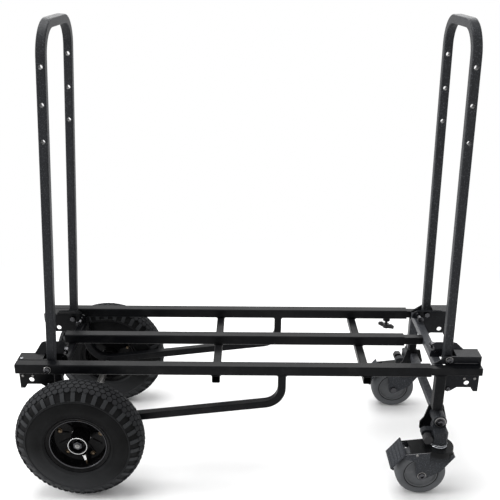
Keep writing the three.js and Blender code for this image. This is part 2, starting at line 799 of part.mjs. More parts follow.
// Bolt that a caster arm folds on, screwed into the lower cross tube: a washer with a hexagon on it
const foldHexShare = 0.75;
const washerShare = 1 / 3;

function foldBolt(sign) {
  const head = knuckleFront + seatGap;
  const inside = sign * (foldPlateY - foldPlateSheet - barSize);
  const washer = sign * (head + foldHeadLength * washerShare);
  const end = sign * (head + foldHeadLength);
  return join(
    rodY(foldBoltRadius, foldX, foldZ, inside, washer, 16),
    rodY(foldHeadRadius, foldX, foldZ, sign * head, washer),
    rodY(foldHeadRadius * foldHexShare, foldX, foldZ, sign * head, end, 6));
}

// Caster arm: a round knuckle on the fold bolt, a neck, the block that holds the kingpin, and the ear of
// the plunger
function casterArm(sign) {
  const inboard = foldPlateY + seatGap;
  const legFace = railY + legSize / 2;
  const h = blockWidth / 2;
  const neckHalf = h - seatGap * 6;
  const knuckle = rodY(knuckleRadius, foldX, foldZ, sign * inboard, sign * knuckleFront, 20);
  const neckShape = new THREE.Shape();
  neckShape.moveTo(foldX - neckHalf, foldZ);
  neckShape.lineTo(foldX + neckHalf, foldZ);
  neckShape.lineTo(swivelX + h, blockTop);
  neckShape.lineTo(swivelX + h, blockBottom);
  neckShape.lineTo(swivelX - h, blockBottom);
  neckShape.lineTo(swivelX - h, blockTop);
  const neck = plate(neckShape, sign * legFace, sign * knuckleFront);
  const bevel = blockWidth / 8;
  const footprint = new THREE.Shape();
  const y0 = swivelReach - blockReach;
  const y1 = swivelReach - blockBackReach;
  footprint.moveTo(-h + bevel, y0);
  footprint.lineTo(h - bevel, y0);
  footprint.lineTo(h, y0 + bevel);
  footprint.lineTo(h, y1);
  footprint.lineTo(-h, y1);
  footprint.lineTo(-h, y0 + bevel);
  const blockBody = solid(new THREE.ExtrudeGeometry(footprint, { depth: blockHeight, bevelEnabled: false })
    .translate(swivelX, -swivelY, blockBottom));
  const seat = sign < 0 ? blockBody : blockBody.mirror([0, 1, 0]);
  const ear = rodY(plungerEarRadius, plungerX, plungerZ, sign * legFace, sign * knuckleFront, 16);
  const earWeb = block(plungerX, swivelX, ...ordered(sign * legFace, sign * knuckleFront),
    plungerZ - plungerEarRadius, plungerZ + plungerEarRadius);
  return cut(join(knuckle, neck, seat, ear, earWeb),
    rodY(foldBoltRadius + seatGap, foldX, foldZ, sign * (inboard - overrun), sign * (knuckleFront + overrun)),
    rodY(plungerPinRadius + seatGap, plungerX, plungerZ, sign * (legFace - overrun),
      sign * (knuckleFront + overrun), 14),
    rodZ(kingpinRadius + seatGap, swivelX, sign * swivelY, blockBottom - overrun, kingpinTop + seatGap));
}

// Plunger of the caster arm: a ribbed knob in front of the ear and a pin that ends flush behind it
const lobeShare = 0.06;

function plunger(sign) {
  const face = knuckleFront + seatGap + plungerTravel;
  const grip = new THREE.Shape();
  const lobes = 6;
  const steps = lobes * 3;
  const rim = [];
  for (let i = 0; i < steps; i += 1) {
    const angle = 2 * Math.PI * i / steps;
    const radius = plungerKnobRadius * (1 - lobeShare + lobeShare * Math.cos(lobes * angle));
    rim.push(new THREE.Vector2(plungerX + radius * Math.cos(angle), plungerZ + radius * Math.sin(angle)));
  }
  grip.setFromPoints(rim);
  return join(
    plate(grip, sign * face, sign * (face + plungerKnobLength)),
    rodY(plungerPinRadius, plungerX, plungerZ, sign * (railY + legSize / 2), sign * (face + overrun), 14));
}

// Swivel race: two rings with a groove between, under the arm's block
function race(sign) {
  const top = blockBottom - seatGap;
  const bottom = crownTop + seatGap;
  const middle = (top + bottom) / 2;
  const ring = turned([
    [kingpinRadius + seatGap * 2, bottom], [raceRadius, bottom], [raceRadius, middle - raceGroove / 2],
    [raceRadius - raceGroove, middle], [raceRadius, middle + raceGroove / 2], [raceRadius, top],
    [kingpinRadius + seatGap * 2, top],
  ], 20);
  return ring.rotate([90, 0, 0]).translate([swivelX, sign * swivelY, 0]);
}

// Fork: a bent sheet with a round crown, a sloping roof and two side plates down to the axle.
// x runs from the swivel axis, and the wheel trails toward -X.
const forkCheekShare = 1.5;
const forkBossTurns = 0.9;

function forkOutline() {
  const roofLow = crownTop - forkRoofDrop;
  const r = forkBossRadius;
  const shape = new THREE.Shape();
  shape.moveTo(crownRadius, crownTop - crownDepth);
  shape.lineTo(0, crownTop);
  shape.lineTo(-forkArmEnd, roofLow);
  shape.lineTo(-forkArmEnd - forkSheet / 2, roofLow - forkArmDepth);
  shape.lineTo(-casterTrail - r - forkSheet, roofLow - forkArmDepth * forkCheekShare);
  shape.lineTo(-casterTrail - r, casterRadius);
  shape.absarc(-casterTrail, casterRadius, r, Math.PI, Math.PI * 2 * forkBossTurns, false);
  shape.lineTo(forkKneeReach, crownTop - forkKneeDrop);
  return shape;
}

// A place beside the caster wheel, in shares of its radius ahead of its middle and above it
const besideWheel = ([ahead, up]) => new THREE.Vector2(
  -casterTrail - casterRadius * ahead, casterRadius + casterRadius * up);
const pedalPin = besideWheel(pedalPinShares);

function fork() {
  const w = forkWidth / 2;
  const shell = join(
    plate(forkOutline(), -w, w),
    rodZ(crownRadius, 0, 0, crownTop - crownDepth, crownTop, 24));
  const inner = w - forkSheet;
  const roofHigh = crownTop - forkSheet;
  const roofLow = roofHigh - forkRoofDrop * forkRoofEnd / forkArmEnd;
  const above = crownTop + overrun;
  const far = crownRadius * 2 + forkArmEnd;
  const hollow = new THREE.Shape();
  hollow.moveTo(crownRadius - forkSheet, crownTop - crownDepth);
  hollow.lineTo(crownRadius - forkSheet * 2, roofHigh);
  hollow.lineTo(0, roofHigh);
  hollow.lineTo(-forkRoofEnd, roofLow);
  hollow.lineTo(-forkRoofEnd, above);
  hollow.lineTo(-far, above);
  hollow.lineTo(-far, 0);
  hollow.lineTo(far, 0);
  hollow.lineTo(far, crownTop - crownDepth - forkSheet);
  const cavity = join(
    plate(hollow, -inner, inner),
    rodZ(crownRadius - forkSheet, 0, 0, crownTop - crownDepth - overrun, roofHigh, 24));
  const pins = [
    rodZ(kingpinRadius, 0, 0, crownTop - forkSheet / 2, kingpinTop),
    rodY(pedalPinRadius, pedalPin.x, pedalPin.y, -w - forkSheet / 2, w + forkSheet / 2, 10),
  ];
  const axleHole = rodY(casterBoltRadius + seatGap, -casterTrail, casterRadius,
    -w - overrun, w + overrun, 12);
  return cut(join(cut(shell, cavity), ...pins), axleHole);
}

// Caster wheel: a moulded core with a raised hub, its face given as shares of its radius and half width
const coreDishShare = 0.72;
const coreRingShares = [0.86, 0.92];

function casterCoreBody() {
  const h = casterWidth / 2 - casterCoreInset;
  const hubEnd = forkWidth / 2 - forkSheet - seatGap * 2;
  const dish = h * coreDishShare;
  const bore = casterBoltRadius + seatGap;
  const [ringIn, ringOut] = coreRingShares.map((share) => casterCore * share);
  return turned([
    [bore, -hubEnd], [casterHubRadius, -hubEnd], [casterHubRadius, -dish], [ringIn, -dish],
    [ringOut, -h], [casterCore, -h], [casterCore, h], [ringOut, h],
    [ringIn, dish], [casterHubRadius, dish], [casterHubRadius, hubEnd], [bore, hubEnd],
  ], 20);
}

// Solid tyre with rounded shoulders: points inward from its corner, in shares of a third of its depth
const shoulderShares = [[1.6, 0], [0.5, 0.45], [0, 1.3]];

function casterTyreBody() {
  const h = casterWidth / 2;
  const inner = casterCore + seatGap;
  const shoulder = (casterRadius - casterCore) / 3;
  const face = shoulderShares.map(([down, across]) => [
    casterRadius - shoulder * down, h - shoulder * across]);
  const side = [[inner, h - seatGap * 4], ...face];
  return turned([...side.map(([radius, place]) => [radius, -place]), ...side.reverse()], tyreSides);
}

function casterBolt() {
  const w = forkWidth / 2;
  return bolt(-casterTrail, casterRadius, -1, w + seatGap, -w - seatGap,
    casterBoltRadius, casterHeadRadius, casterHeadLength);
}

// Brake pedal: a ribbed pad across the wheel on two arms that turn on the fork's cross pin
const ribShare = 0.45;
const ribStartShare = 0.3;
const armRootShares = [0.25, 0.72];
const armEyeShare = 1.8;

function pedal() {
  const bottom = besideWheel(pedalBottomShares);
  const run = besideWheel(pedalTopShares).sub(bottom);
  const unit = run.clone().normalize();
  const out = new THREE.Vector2(-unit.y, unit.x);
  const w = forkWidth / 2 + pedalOverhang;
  const at = (share, height) => bottom.clone().addScaledVector(run, share).addScaledVector(out, height);
  const strip = (from, to, depth, y) => {
    const shape = new THREE.Shape([at(from, 0), at(to, 0), at(to, depth), at(from, depth)]);
    return plate(shape, -y, y);
  };
  const parts = [strip(0, 1, pedalSheet, w)];
  for (let i = 0; i < pedalRibs; i += 1) {
    const from = (i + ribStartShare) / pedalRibs;
    parts.push(strip(from, from + ribShare / pedalRibs, pedalSheet + pedalRibHeight, w - pedalSheet));
  }
  parts.push(strip(0, pedalSheet / run.length(), -pedalLipDepth, w));
  const armOuter = forkWidth / 2 - forkSheet - seatGap * 2;
  const reach = pedalPinRadius * armEyeShare;
  const [armLow, armHigh] = armRootShares;
  const arm = new THREE.Shape([at(armHigh, 0), new THREE.Vector2(pedalPin.x, pedalPin.y + reach)]);
  arm.absarc(pedalPin.x, pedalPin.y, reach, Math.PI / 2, -Math.PI / 2, true);
  for (const share of [armLow, armHigh]) {
    const point = at(share, pedalSheet / 2);
    arm.lineTo(point.x, point.y);
  }
  for (const { sign } of sides) {
    parts.push(plate(arm, sign * (armOuter - pedalArmSheet), sign * armOuter));
  }
  return cut(join(...parts),
    rodY(pedalPinRadius + seatGap, pedalPin.x, pedalPin.y, -forkWidth, forkWidth, 14));
}

function casters() {
  const turning = [
    ['fork', fork(), 'casting'], ['caster_core', casterCoreBody(), 'grey'],
    ['caster_tyre', casterTyreBody(), 'grey'], ['caster_bolt', casterBolt(), 'zinc'],
    ['brake_pedal', pedal(), 'casting'],
  ];
  const onWheel = new Set(['caster_core', 'caster_tyre']);
  for (const { name, sign } of sides) {
    add(`fold_bolt_${name}`, foldBolt(sign), 'zinc');
    add(`caster_arm_${name}`, casterArm(sign), 'casting');
    add(`plunger_${name}`, plunger(sign), 'plastic');
    add(`swivel_race_${name}`, race(sign), 'zinc');
    const swivel = new THREE.Group();
    swivel.position.set(swivelX, sign * swivelY, 0);
    for (const [part, body, finish] of turning) {
      const mesh = add(`${part}_${name}`, body, finish, swivel);
      if (onWheel.has(part)) mesh.position.set(-casterTrail, 0, casterRadius);
    }
    cart.add(swivel);
  }
}

// Clamp knob: a screw up through the boss to the inner rail, with two wings to turn it by
// The wings' outline is in shares of half their span and of their height.
const wingShares = [[0.4, -0.74], [1, -0.55], [1, 0], [0.6, 0.25], [0.2, 0]];

function clampKnob() {
  const bossEnd = railBottom - knobBossLength;
  const hubTop = bossEnd - knobNeck;
  const screwTop = railMid - innerSize / 2 - seatGap;
  const hubBottom = hubTop - knobHubLength;
  const top = hubTop - seatGap * 3;
  const edge = wingShares.map(([across, up]) => [knobWingSpan / 2 * across, top + knobWingHeight * up]);
  const outline = [...edge, ...edge.slice().reverse().map(([x, z]) => [-x, z])];
  const wing = new THREE.Shape(outline.map(([x, z]) => new THREE.Vector2(x, z)));
  const wings = plate(wing, -knobWingThick / 2, knobWingThick / 2).rotate([0, 0, -knobAngle]);
  const body = join(
    rodZ(knobScrewRadius, 0, 0, hubTop - knobHubLength / 2, screwTop, 14),
    rodZ(knobHubRadius, 0, 0, hubBottom, hubTop, 20), wings);
  add('clamp_knob', body.translate([knobX, railY, 0]), 'plastic');
}

outerRails();
crossBars();
sledBraces();
axle();
wheels();
brackets();
handle('handle_left', leftLegOuter * 2, leftHandleX, leftPivotZ, leftLeanAngle);
handle('handle_right', rightLegOuter * 2, rightHandleX, rightPivotZ, -rightLeanAngle);
lockPins();
frontFrame();
casters();
clampKnob();

export default cart;
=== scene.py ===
import json
import math

import bmesh
import bpy
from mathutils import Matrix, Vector


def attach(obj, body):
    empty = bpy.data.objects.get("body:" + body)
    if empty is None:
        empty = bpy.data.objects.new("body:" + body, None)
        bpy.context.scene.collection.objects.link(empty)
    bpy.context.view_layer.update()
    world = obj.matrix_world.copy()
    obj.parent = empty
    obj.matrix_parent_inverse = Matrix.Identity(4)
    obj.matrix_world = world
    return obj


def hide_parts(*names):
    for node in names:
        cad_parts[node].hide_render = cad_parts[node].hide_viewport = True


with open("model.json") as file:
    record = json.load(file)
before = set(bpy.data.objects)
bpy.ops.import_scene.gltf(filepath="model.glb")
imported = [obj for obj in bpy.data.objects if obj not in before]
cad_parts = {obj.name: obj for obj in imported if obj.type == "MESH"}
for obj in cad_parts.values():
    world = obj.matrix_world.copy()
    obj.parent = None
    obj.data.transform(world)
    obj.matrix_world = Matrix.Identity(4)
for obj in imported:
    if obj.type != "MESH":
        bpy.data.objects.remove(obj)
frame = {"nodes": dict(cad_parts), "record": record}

bl_info = {
    "name": "Folding Equipment Cart",
    "version": (1, 0, 0),
    "blender": (4, 5, 0),
    "location": "View3D > Sidebar > Cart",
    "description": "Builds a folding equipment cart with telescoping rails and two fold-down handles",
    "category": "Add Mesh",
}

NODES = frame["nodes"]
RECORD = frame["record"]
BODY_OF = {node: body for body, nodes in RECORD["behaviour"]["bodies"].items() for node in nodes}
SLOT_OF = {part["node"]: part["material_slot"] for part in RECORD["subparts"]}
SIDES = (("near", -1), ("far", 1))
MM = 0.001
DOUBLES = 2e-6

# Places that several pieces share, in millimetres; the sign of y goes by the side.
AXLE_X, WHEEL_Y, AXLE_Z = -337.7, 168.5, 130.7
CASTER_X, CASTER_Y, CASTER_Z = 356.6, 156.5, 51.5
FOLD_X, FOLD_Z = 391.0, 160.0
RAIL_Y, RAIL_Z = 123.8, 267.0


# ---------------------------------------------------------------- shader maths

class Signal:
    """A socket that can be added, multiplied and so on, as a number can."""

    def __init__(self, paint, socket):
        self.paint = paint
        self.socket = socket

    def _math(self, operation, first, second):
        return self.paint.node("ShaderNodeMath", {"operation": operation}, {0: first, 1: second})

    def __add__(self, other):
        return self._math("ADD", self, other)

    def __radd__(self, other):
        return self._math("ADD", other, self)

    def __sub__(self, other):
        return self._math("SUBTRACT", self, other)

    def __rsub__(self, other):
        return self._math("SUBTRACT", other, self)

    def __mul__(self, other):
        return self._math("MULTIPLY", self, other)

    def __pow__(self, other):
        return self._math("POWER", self, other)

    def size(self):
        return self._math("ABSOLUTE", self, 0.0)

    def clamped(self):
        return self.paint.node("ShaderNodeClamp", {}, {"Value": self})


class Paint:
    """A new material: makes nodes, wires them and fills the surface shader's sockets."""

    def __init__(self, name, **constants):
        self.material = bpy.data.materials.new(name)
        self.material.use_nodes = True
        self.tree = self.material.node_tree
        self.surface = self.tree.nodes["Principled BSDF"]
        for socket, value in constants.items():
            self.surface.inputs[socket.replace("_", " ")].default_value = value
        self.place = self.node("ShaderNodeTexCoord", {}, {}, "Object")

    def node(self, kind, settings, sockets, output=0):
        made = self.tree.nodes.new(kind)
        for name, value in settings.items():
            setattr(made, name, value)
        for key, value in sockets.items():
            self.feed(made.inputs[key], value)
        return Signal(self, made.outputs[output])

    def feed(self, socket, value):
        if isinstance(value, Signal):
            self.tree.links.new(value.socket, socket)
        else:
            socket.default_value = value

    def set(self, socket, value):
        self.feed(self.surface.inputs[socket], value)

    def noise(self, scale, detail=2.0, roughness=0.5, stretch=None):
        place = self.place if stretch is None else self.stretched(stretch)
        return self.node("ShaderNodeTexNoise", {},
                         {"Vector": place, "Scale": scale, "Detail": detail, "Roughness": roughness})

    def stretched(self, scale):
        return self.node("ShaderNodeMapping", {}, {"Vector": self.place, "Scale": scale})

    def grey_ramp(self, signal, low, high):
        """Runs from 0 to 1 while the signal runs from low to high."""
        ramp = self.node("ShaderNodeMapRange", {}, {"Value": signal, "From Min": low, "From Max": high})
        return ramp.clamped()

    def mix(self, factor, first, second):
        return self.node("ShaderNodeMix", {"data_type": "RGBA"}, {0: factor, 6: first, 7: second}, 2)

    def bump(self, height, strength, distance):
        self.set("Normal", self.node("ShaderNodeBump", {},
                                     {"Height": height, "Strength": strength, "Distance": distance}))

    def axis(self, index):
        return self.node("ShaderNodeSeparateXYZ", {}, {"Vector": self.place}, index)


def rgba(colour, gain=1.0):
    return (colour[0] * gain, colour[1] * gain, colour[2] * gain, 1.0)


def fork_top_painted_shade(paint):
    """How much a place gets painted shade on the top of a fork, above its side plates: the roof as if
    shadowed by the frame above, and the crown as if shadowed by the arm.
    """
    x, y, z = (paint.axis(index) for index in range(3))
    roof = paint.grey_ramp(z - 0.1031 - (x - 0.3182) * 0.125, -0.0024, -0.0012)
    out = ((x - 0.390) ** 2.0 + (y.size() - CASTER_Y * MM) ** 2.0) ** 0.5
    crown = paint.grey_ramp(0.0312 - out, 0.0, 0.0006) * paint.grey_ramp(z, 0.078, 0.104)
    return (roof + crown).clamped()


def powder_coat(name, colour, roughness, rub, shade=None):
    """Satin powder coat: fine orange peel, uneven gloss, pale rub marks and a little dust, with painted
    shade where a shade mask is given.
    """
    paint = Paint(name, IOR=1.5, Specular_IOR_Level=0.09)
    cloud = paint.noise(9.0, 4.0, 0.6)
    peel = paint.noise(620.0, 2.0, 0.5)
    speck = paint.noise(2600.0, 1.0, 0.5)
    scuff = paint.grey_ramp(paint.noise(55.0, 6.0, 0.72, (1.0, 1.0, 0.35)), 0.60, 0.74)
    dust = paint.grey_ramp(paint.noise(24.0, 5.0, 0.65), 0.5, 0.85)
    fleck = paint.grey_ramp(paint.noise(480.0, 2.0, 0.6), 0.56, 0.70)
    base = paint.mix(fleck, paint.mix(cloud, rgba(colour, 0.7), rgba(colour, 1.3)), rgba(colour, 3.6))
    worn = paint.mix(scuff * rub, base, rgba(colour, 3.4))
    dusted = paint.mix(dust * 0.07, worn, (0.12, 0.115, 0.11, 1.0))
    # Where a shade mask is given, the coat is darkened there to a tenth of its colour: painted shade.
    paint.set("Base Color", paint.mix(shade(paint), dusted, rgba(colour, 0.1)) if shade else dusted)
    paint.set("Roughness", roughness + (cloud - 0.5) * 0.16 + scuff * rub * 0.18 + dust * 0.08
              - fleck * 0.12)
    paint.bump(peel + speck * 0.35, 0.3, 0.0003)
    return paint.material


def rubber(name, colour, roughness, dusty):
    """Moulded rubber: a fine matt grain, with pale dust that gathers in patches."""
    paint = Paint(name, IOR=1.48, Specular_IOR_Level=0.14)
    grain = paint.noise(1500.0, 3.0, 0.6)
    patch = paint.noise(20.0, 6.0, 0.68)
    cloud = paint.grey_ramp(patch, 0.35, 0.75)
    base = paint.mix(grain, rgba(colour, 0.78), rgba(colour, 1.2))
    paint.set("Base Color", paint.mix(cloud * dusty, base, rgba(colour, 2.1)))
    paint.set("Roughness", roughness + (patch - 0.5) * 0.14)
    paint.bump(grain, 0.3, 0.0003)
    return paint.material


def sidewall_rubber(name, colour):
    """Tyre rubber: smooth and dark on the side, with painted shade between the tread blocks, and paler
    towards the bottom and the left, as painted light mixed with patchy dust.
    """
    paint = Paint(name, IOR=1.48, Specular_IOR_Level=0.06)
    grain = paint.noise(1300.0, 3.0, 0.6)
    patch = paint.noise(16.0, 6.0, 0.7)
    cloud = paint.grey_ramp(patch, 0.38, 0.78)
    across, up = paint.axis(0) - AXLE_X * MM, paint.axis(2) - AXLE_Z * MM
    reach = (across * across + up * up) ** 0.5
    # Between the tread blocks the carcass is darkened, where the blocks shade it: painted shade.
    groove_painted_shade = paint.grey_ramp(reach, 0.112, 0.121)
    # The sidewall grows paler towards the bottom and the left, where it is lit: painted light.
    low = paint.grey_ramp(0.0 - up - across * 0.25, 0.025, 0.115)
    line = paint.grey_ramp(1.0 - (reach - 0.1042).size() * 700.0, 0.2, 0.8)
    base = paint.mix(grain, rgba(colour, 0.82), rgba(colour, 1.15))
    # Mixes the patchy dust and the painted light into a paler colour.
    dusty = paint.mix((cloud * 0.2 + low * 0.8).clamped(), base, rgba(colour, 12.0))
    lined = paint.mix(line * 0.5, dusty, rgba(colour, 9.0))
    paint.set("Base Color", paint.mix(groove_painted_shade * 0.8, lined, rgba(colour, 0.3)))
    paint.set("Roughness", 0.42 + (patch - 0.5) * 0.26)
    paint.bump(grain, 0.22, 0.00025)
    return paint.material


def enamel(name, colour):
    """Gloss enamel on pressed steel: a slight wave, fine swirl marks and dust in the dish."""
    paint = Paint(name, IOR=1.52, Specular_IOR_Level=0.06)
    wave = paint.noise(60.0, 2.0, 0.5)
    swirl = paint.grey_ramp(paint.noise(420.0, 5.0, 0.75), 0.52, 0.8)
    dust = paint.grey_ramp(paint.noise(38.0, 5.0, 0.7), 0.48, 0.8)
    base = paint.mix(wave, rgba(colour, 0.8), rgba(colour, 1.3))
    paint.set("Base Color", paint.mix(dust * 0.1, base, (0.09, 0.088, 0.085, 1.0)))
    paint.set("Roughness", 0.16 + swirl * 0.16 + dust * 0.2)
    paint.bump(wave, 0.12, 0.0006)
    return paint.material


def plated(name, colour, roughness):
    """Bright zinc plate: metallic, with faint clouds, fine scratches and dull spots."""
    paint = Paint(name, Metallic=1.0)
    cloud = paint.noise(150.0, 4.0, 0.6)
    scratch = paint.grey_ramp(paint.noise(900.0, 4.0, 0.7, (1.0, 0.2, 1.0)), 0.5, 0.8)
    spot = paint.grey_ramp(paint.noise(330.0, 5.0, 0.7), 0.62, 0.76)
    base = paint.mix(cloud, rgba(colour, 0.82), rgba(colour, 1.08))
    paint.set("Base Color", paint.mix(spot * 0.5, base, (0.26, 0.25, 0.235, 1.0)))
    paint.set("Roughness", roughness + scratch * 0.14 + spot * 0.22)
    paint.bump(scratch + cloud * 0.3, 0.12, 0.0002)
    return paint.material


def moulded(name, colour, roughness):
    """Moulded plastic with a fine spark-eroded grain and slightly polished high spots."""
    paint = Paint(name, IOR=1.47, Specular_IOR_Level=0.3)
    grain = paint.noise(2100.0, 2.0, 0.5)
    wear = paint.grey_ramp(paint.noise(90.0, 5.0, 0.66), 0.5, 0.78)
    base = paint.mix(grain, rgba(colour, 0.85), rgba(colour, 1.2))
    paint.set("Base Color", paint.mix(wear * 0.3, base, rgba(colour, 2.2)))
    paint.set("Roughness", roughness + (grain - 0.5) * 0.12 - wear * 0.1)
    paint.bump(grain, 0.3, 0.0002)
    return paint.material


# ---------------------------------------------------------------- modelling helpers

def object_mode():
    if bpy.context.mode != "OBJECT":
        bpy.ops.object.mode_set(mode="OBJECT")


def clear():
    """Leaves nothing selected, in object mode."""
    object_mode()
    bpy.ops.object.select_all(action="DESELECT")


def only(piece):
    """Leaves the piece alone selected, and active."""
    clear()
    piece.select_set(True)
    bpy.context.view_layer.objects.active = piece
    return piece


def primitive(kind, name, **settings):
    clear()
    getattr(bpy.ops.mesh, f"primitive_{kind}_add")(**settings)
    piece = bpy.context.object
    piece.name = name
    piece.data.name = name
    return piece


def edit(piece, mode="FACE"):
    only(piece)
    bpy.ops.object.mode_set(mode="EDIT")
    bpy.ops.mesh.select_mode(type=mode)
    bpy.ops.mesh.select_all(action="SELECT")


def pick(piece, test, kind="faces"):
    """Selects, in edit mode, the elements that the test says yes to."""
    cage = bmesh.from_edit_mesh(piece.data)
    bpy.ops.mesh.select_all(action="DESELECT")
    for element in getattr(cage, kind):
        if test(element):
            element.select_set(True)
    cage.select_flush_mode()
    bmesh.update_edit_mesh(piece.data)


def extrude(offset):
    bpy.ops.mesh.extrude_region_move(TRANSFORM_OT_translate={"value": tuple(offset)})


def set_down(piece):
    """Applies the piece's place, so that its object sits at the origin."""
    only(piece)
    bpy.ops.object.transform_apply(location=True, rotation=True, scale=True)
    return piece


def settled(piece, at=(0, 0, 0), turn=(0, 0, 0)):
    """Puts the piece at a place in millimetres, turned by degrees, with its object at the origin."""
    piece.location = [value * MM for value in at]
    piece.rotation_euler = [math.radians(angle) for angle in turn]
    return set_down(piece)


def outward(piece):
    """Merges double vertices and turns all faces outward."""
    edit(piece)
    bpy.ops.mesh.remove_doubles(threshold=DOUBLES)
    bpy.ops.mesh.normals_make_consistent(inside=False)
    object_mode()
    return piece


def modify(piece, kind, **settings):
    only(piece)
    change = piece.modifiers.new(kind.lower(), kind)
    for name, value in settings.items():
        setattr(change, name, value)
    bpy.ops.object.modifier_apply(modifier=change.name)


def rounded(piece, width, segments=2, limit=38.0, smooth=42.0):
    """Rounds the hard edges and shades the rest smooth, with flat faces left flat."""
    modify(piece, "BEVEL", width=width, segments=segments, limit_method="ANGLE",
           angle_limit=math.radians(limit), use_clamp_overlap=True)
    only(piece)
    bpy.ops.object.shade_smooth_by_angle(angle=math.radians(smooth))
    modify(piece, "WEIGHTED_NORMAL", keep_sharp=True, weight=50)
    return piece


def smoothed(piece, angle=40.0):
    only(piece)
    bpy.ops.object.shade_smooth_by_angle(angle=math.radians(angle))
    return piece


def copy_of(piece, name):
    twin = bpy.data.objects.new(name, piece.data.copy())
    twin.data.name = name
    bpy.context.scene.collection.objects.link(twin)
    return twin


def joined(name, pieces):
    clear()
    for piece in pieces:
        piece.select_set(True)
    bpy.context.view_layer.objects.active = pieces[0]
    bpy.ops.object.join()
    result = bpy.context.object
    result.name = name
    result.data.name = name
    return result


def carve(piece, cutter):
    modify(piece, "BOOLEAN", operation="DIFFERENCE", object=cutter, solver="EXACT")
    discard(cutter)


def outline(name, points):
    """A closed line drawn by extruding one vertex from place to place; left in edit mode."""
    piece = primitive("plane", name, size=0.002)
    edit(piece, "VERT")
    bpy.ops.mesh.merge(type="CENTER")
    bpy.ops.mesh.select_all(action="SELECT")
    points = [Vector(point) for point in points]
    bpy.ops.transform.translate(value=points[0])
    for here, there in zip(points, points[1:] + points[:1]):
        extrude(there - here)
    bpy.ops.mesh.select_all(action="SELECT")
    bpy.ops.mesh.remove_doubles(threshold=DOUBLES)
    bpy.ops.mesh.select_all(action="SELECT")
    return piece


def mirrored(half):
    """A profile of (radius, y) from one half of it: its -Y side, then its +Y side back again."""
    return [(r, -y) for r, y in half] + [(r, y) for r, y in reversed(half)]


def turned(name, profile, steps=72):
    """A form turned about the Y axis at the origin from points of (radius, y) in millimetres."""
    piece = outline(name, [(0.0, y * MM, r * MM) for r, y in profile])
    bpy.ops.mesh.spin(steps=steps, angle=2 * math.pi, center=(0, 0, 0), axis=(0, 1, 0))
    return outward(piece)


def rod(name, radius, length, sides=24, axis="Y", at=(0, 0, 0)):
    """A round rod with its middle at a place, all in millimetres."""
    turns = {"X": (0, math.pi / 2, 0), "Y": (math.pi / 2, 0, 0), "Z": (0, 0, 0)}
    piece = primitive("cylinder", name, vertices=sides, radius=radius * MM, depth=length * MM,
                      location=[value * MM for value in at], rotation=turns[axis])
    return set_down(piece)


def placed(master, name, at, turn=(0, 0, 0)):
    """A copy of a piece with its middle at a place in millimetres, turned by degrees."""
    return settled(copy_of(master, name), at, turn)


def outboard(sign):
    """The turn, in degrees, that makes a piece drawn to face -Y face outboard on its side."""
    return (0, 0, 180 if sign > 0 else 0)


def discard(*masters):
    for master in masters:
        bpy.data.objects.remove(master, do_unlink=True)


def button_head(name, radius, height):
    """A round screw head with a socket in it, which faces along -Y."""
    return smoothed(turned(name, [
        (0.0, -0.45 * height), (0.42 * radius, -0.45 * height), (0.46 * radius, -height),
        (0.72 * radius, -0.93 * height), (0.93 * radius, -0.62 * height), (radius, -0.2 * height),
        (radius, 0.5), (0.0, 0.5)], 24), 34.0)


def weld_bead(name, length):
    """A row of overlapping ripples along X, as a welder leaves them."""
    bead = primitive("uv_sphere", name, segments=8, ring_count=6, radius=0.0019,
                     location=((0.85 - length / 2) * MM, 0.0, 0.0))
    bead.scale = (0.6, 1.0, 1.0)
    set_down(bead)
    modify(bead, "ARRAY", count=round(length / 1.7), use_relative_offset=False, use_constant_offset=True,
           constant_offset_displace=(0.0017, 0.0, 0.0))
    return smoothed(bead, 60.0)


def own(piece, body, slot, material, *nodes):
    """Gives a finished piece its material and its body, and hides the nodes that it stands for."""
    object_mode()
    piece.data.materials.clear()
    piece.data.materials.append(material)
    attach(piece, body)
    if nodes:
        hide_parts(*nodes)
    return piece


def dressed(node, material, width=0.5, segments=2, limit=38.0):
    """A copy of a node with its triangles merged into faces and its hard edges rounded."""
    piece = copy_of(NODES[node], f"{node}_finished")
    edit(piece)
    bpy.ops.mesh.remove_doubles(threshold=DOUBLES)
    bpy.ops.mesh.dissolve_limited(angle_limit=math.radians(0.5))
    object_mode()
    rounded(piece, width * MM, segments, limit)
    return own(piece, BODY_OF[node], SLOT_OF[node], material, node)


MATERIALS = {}

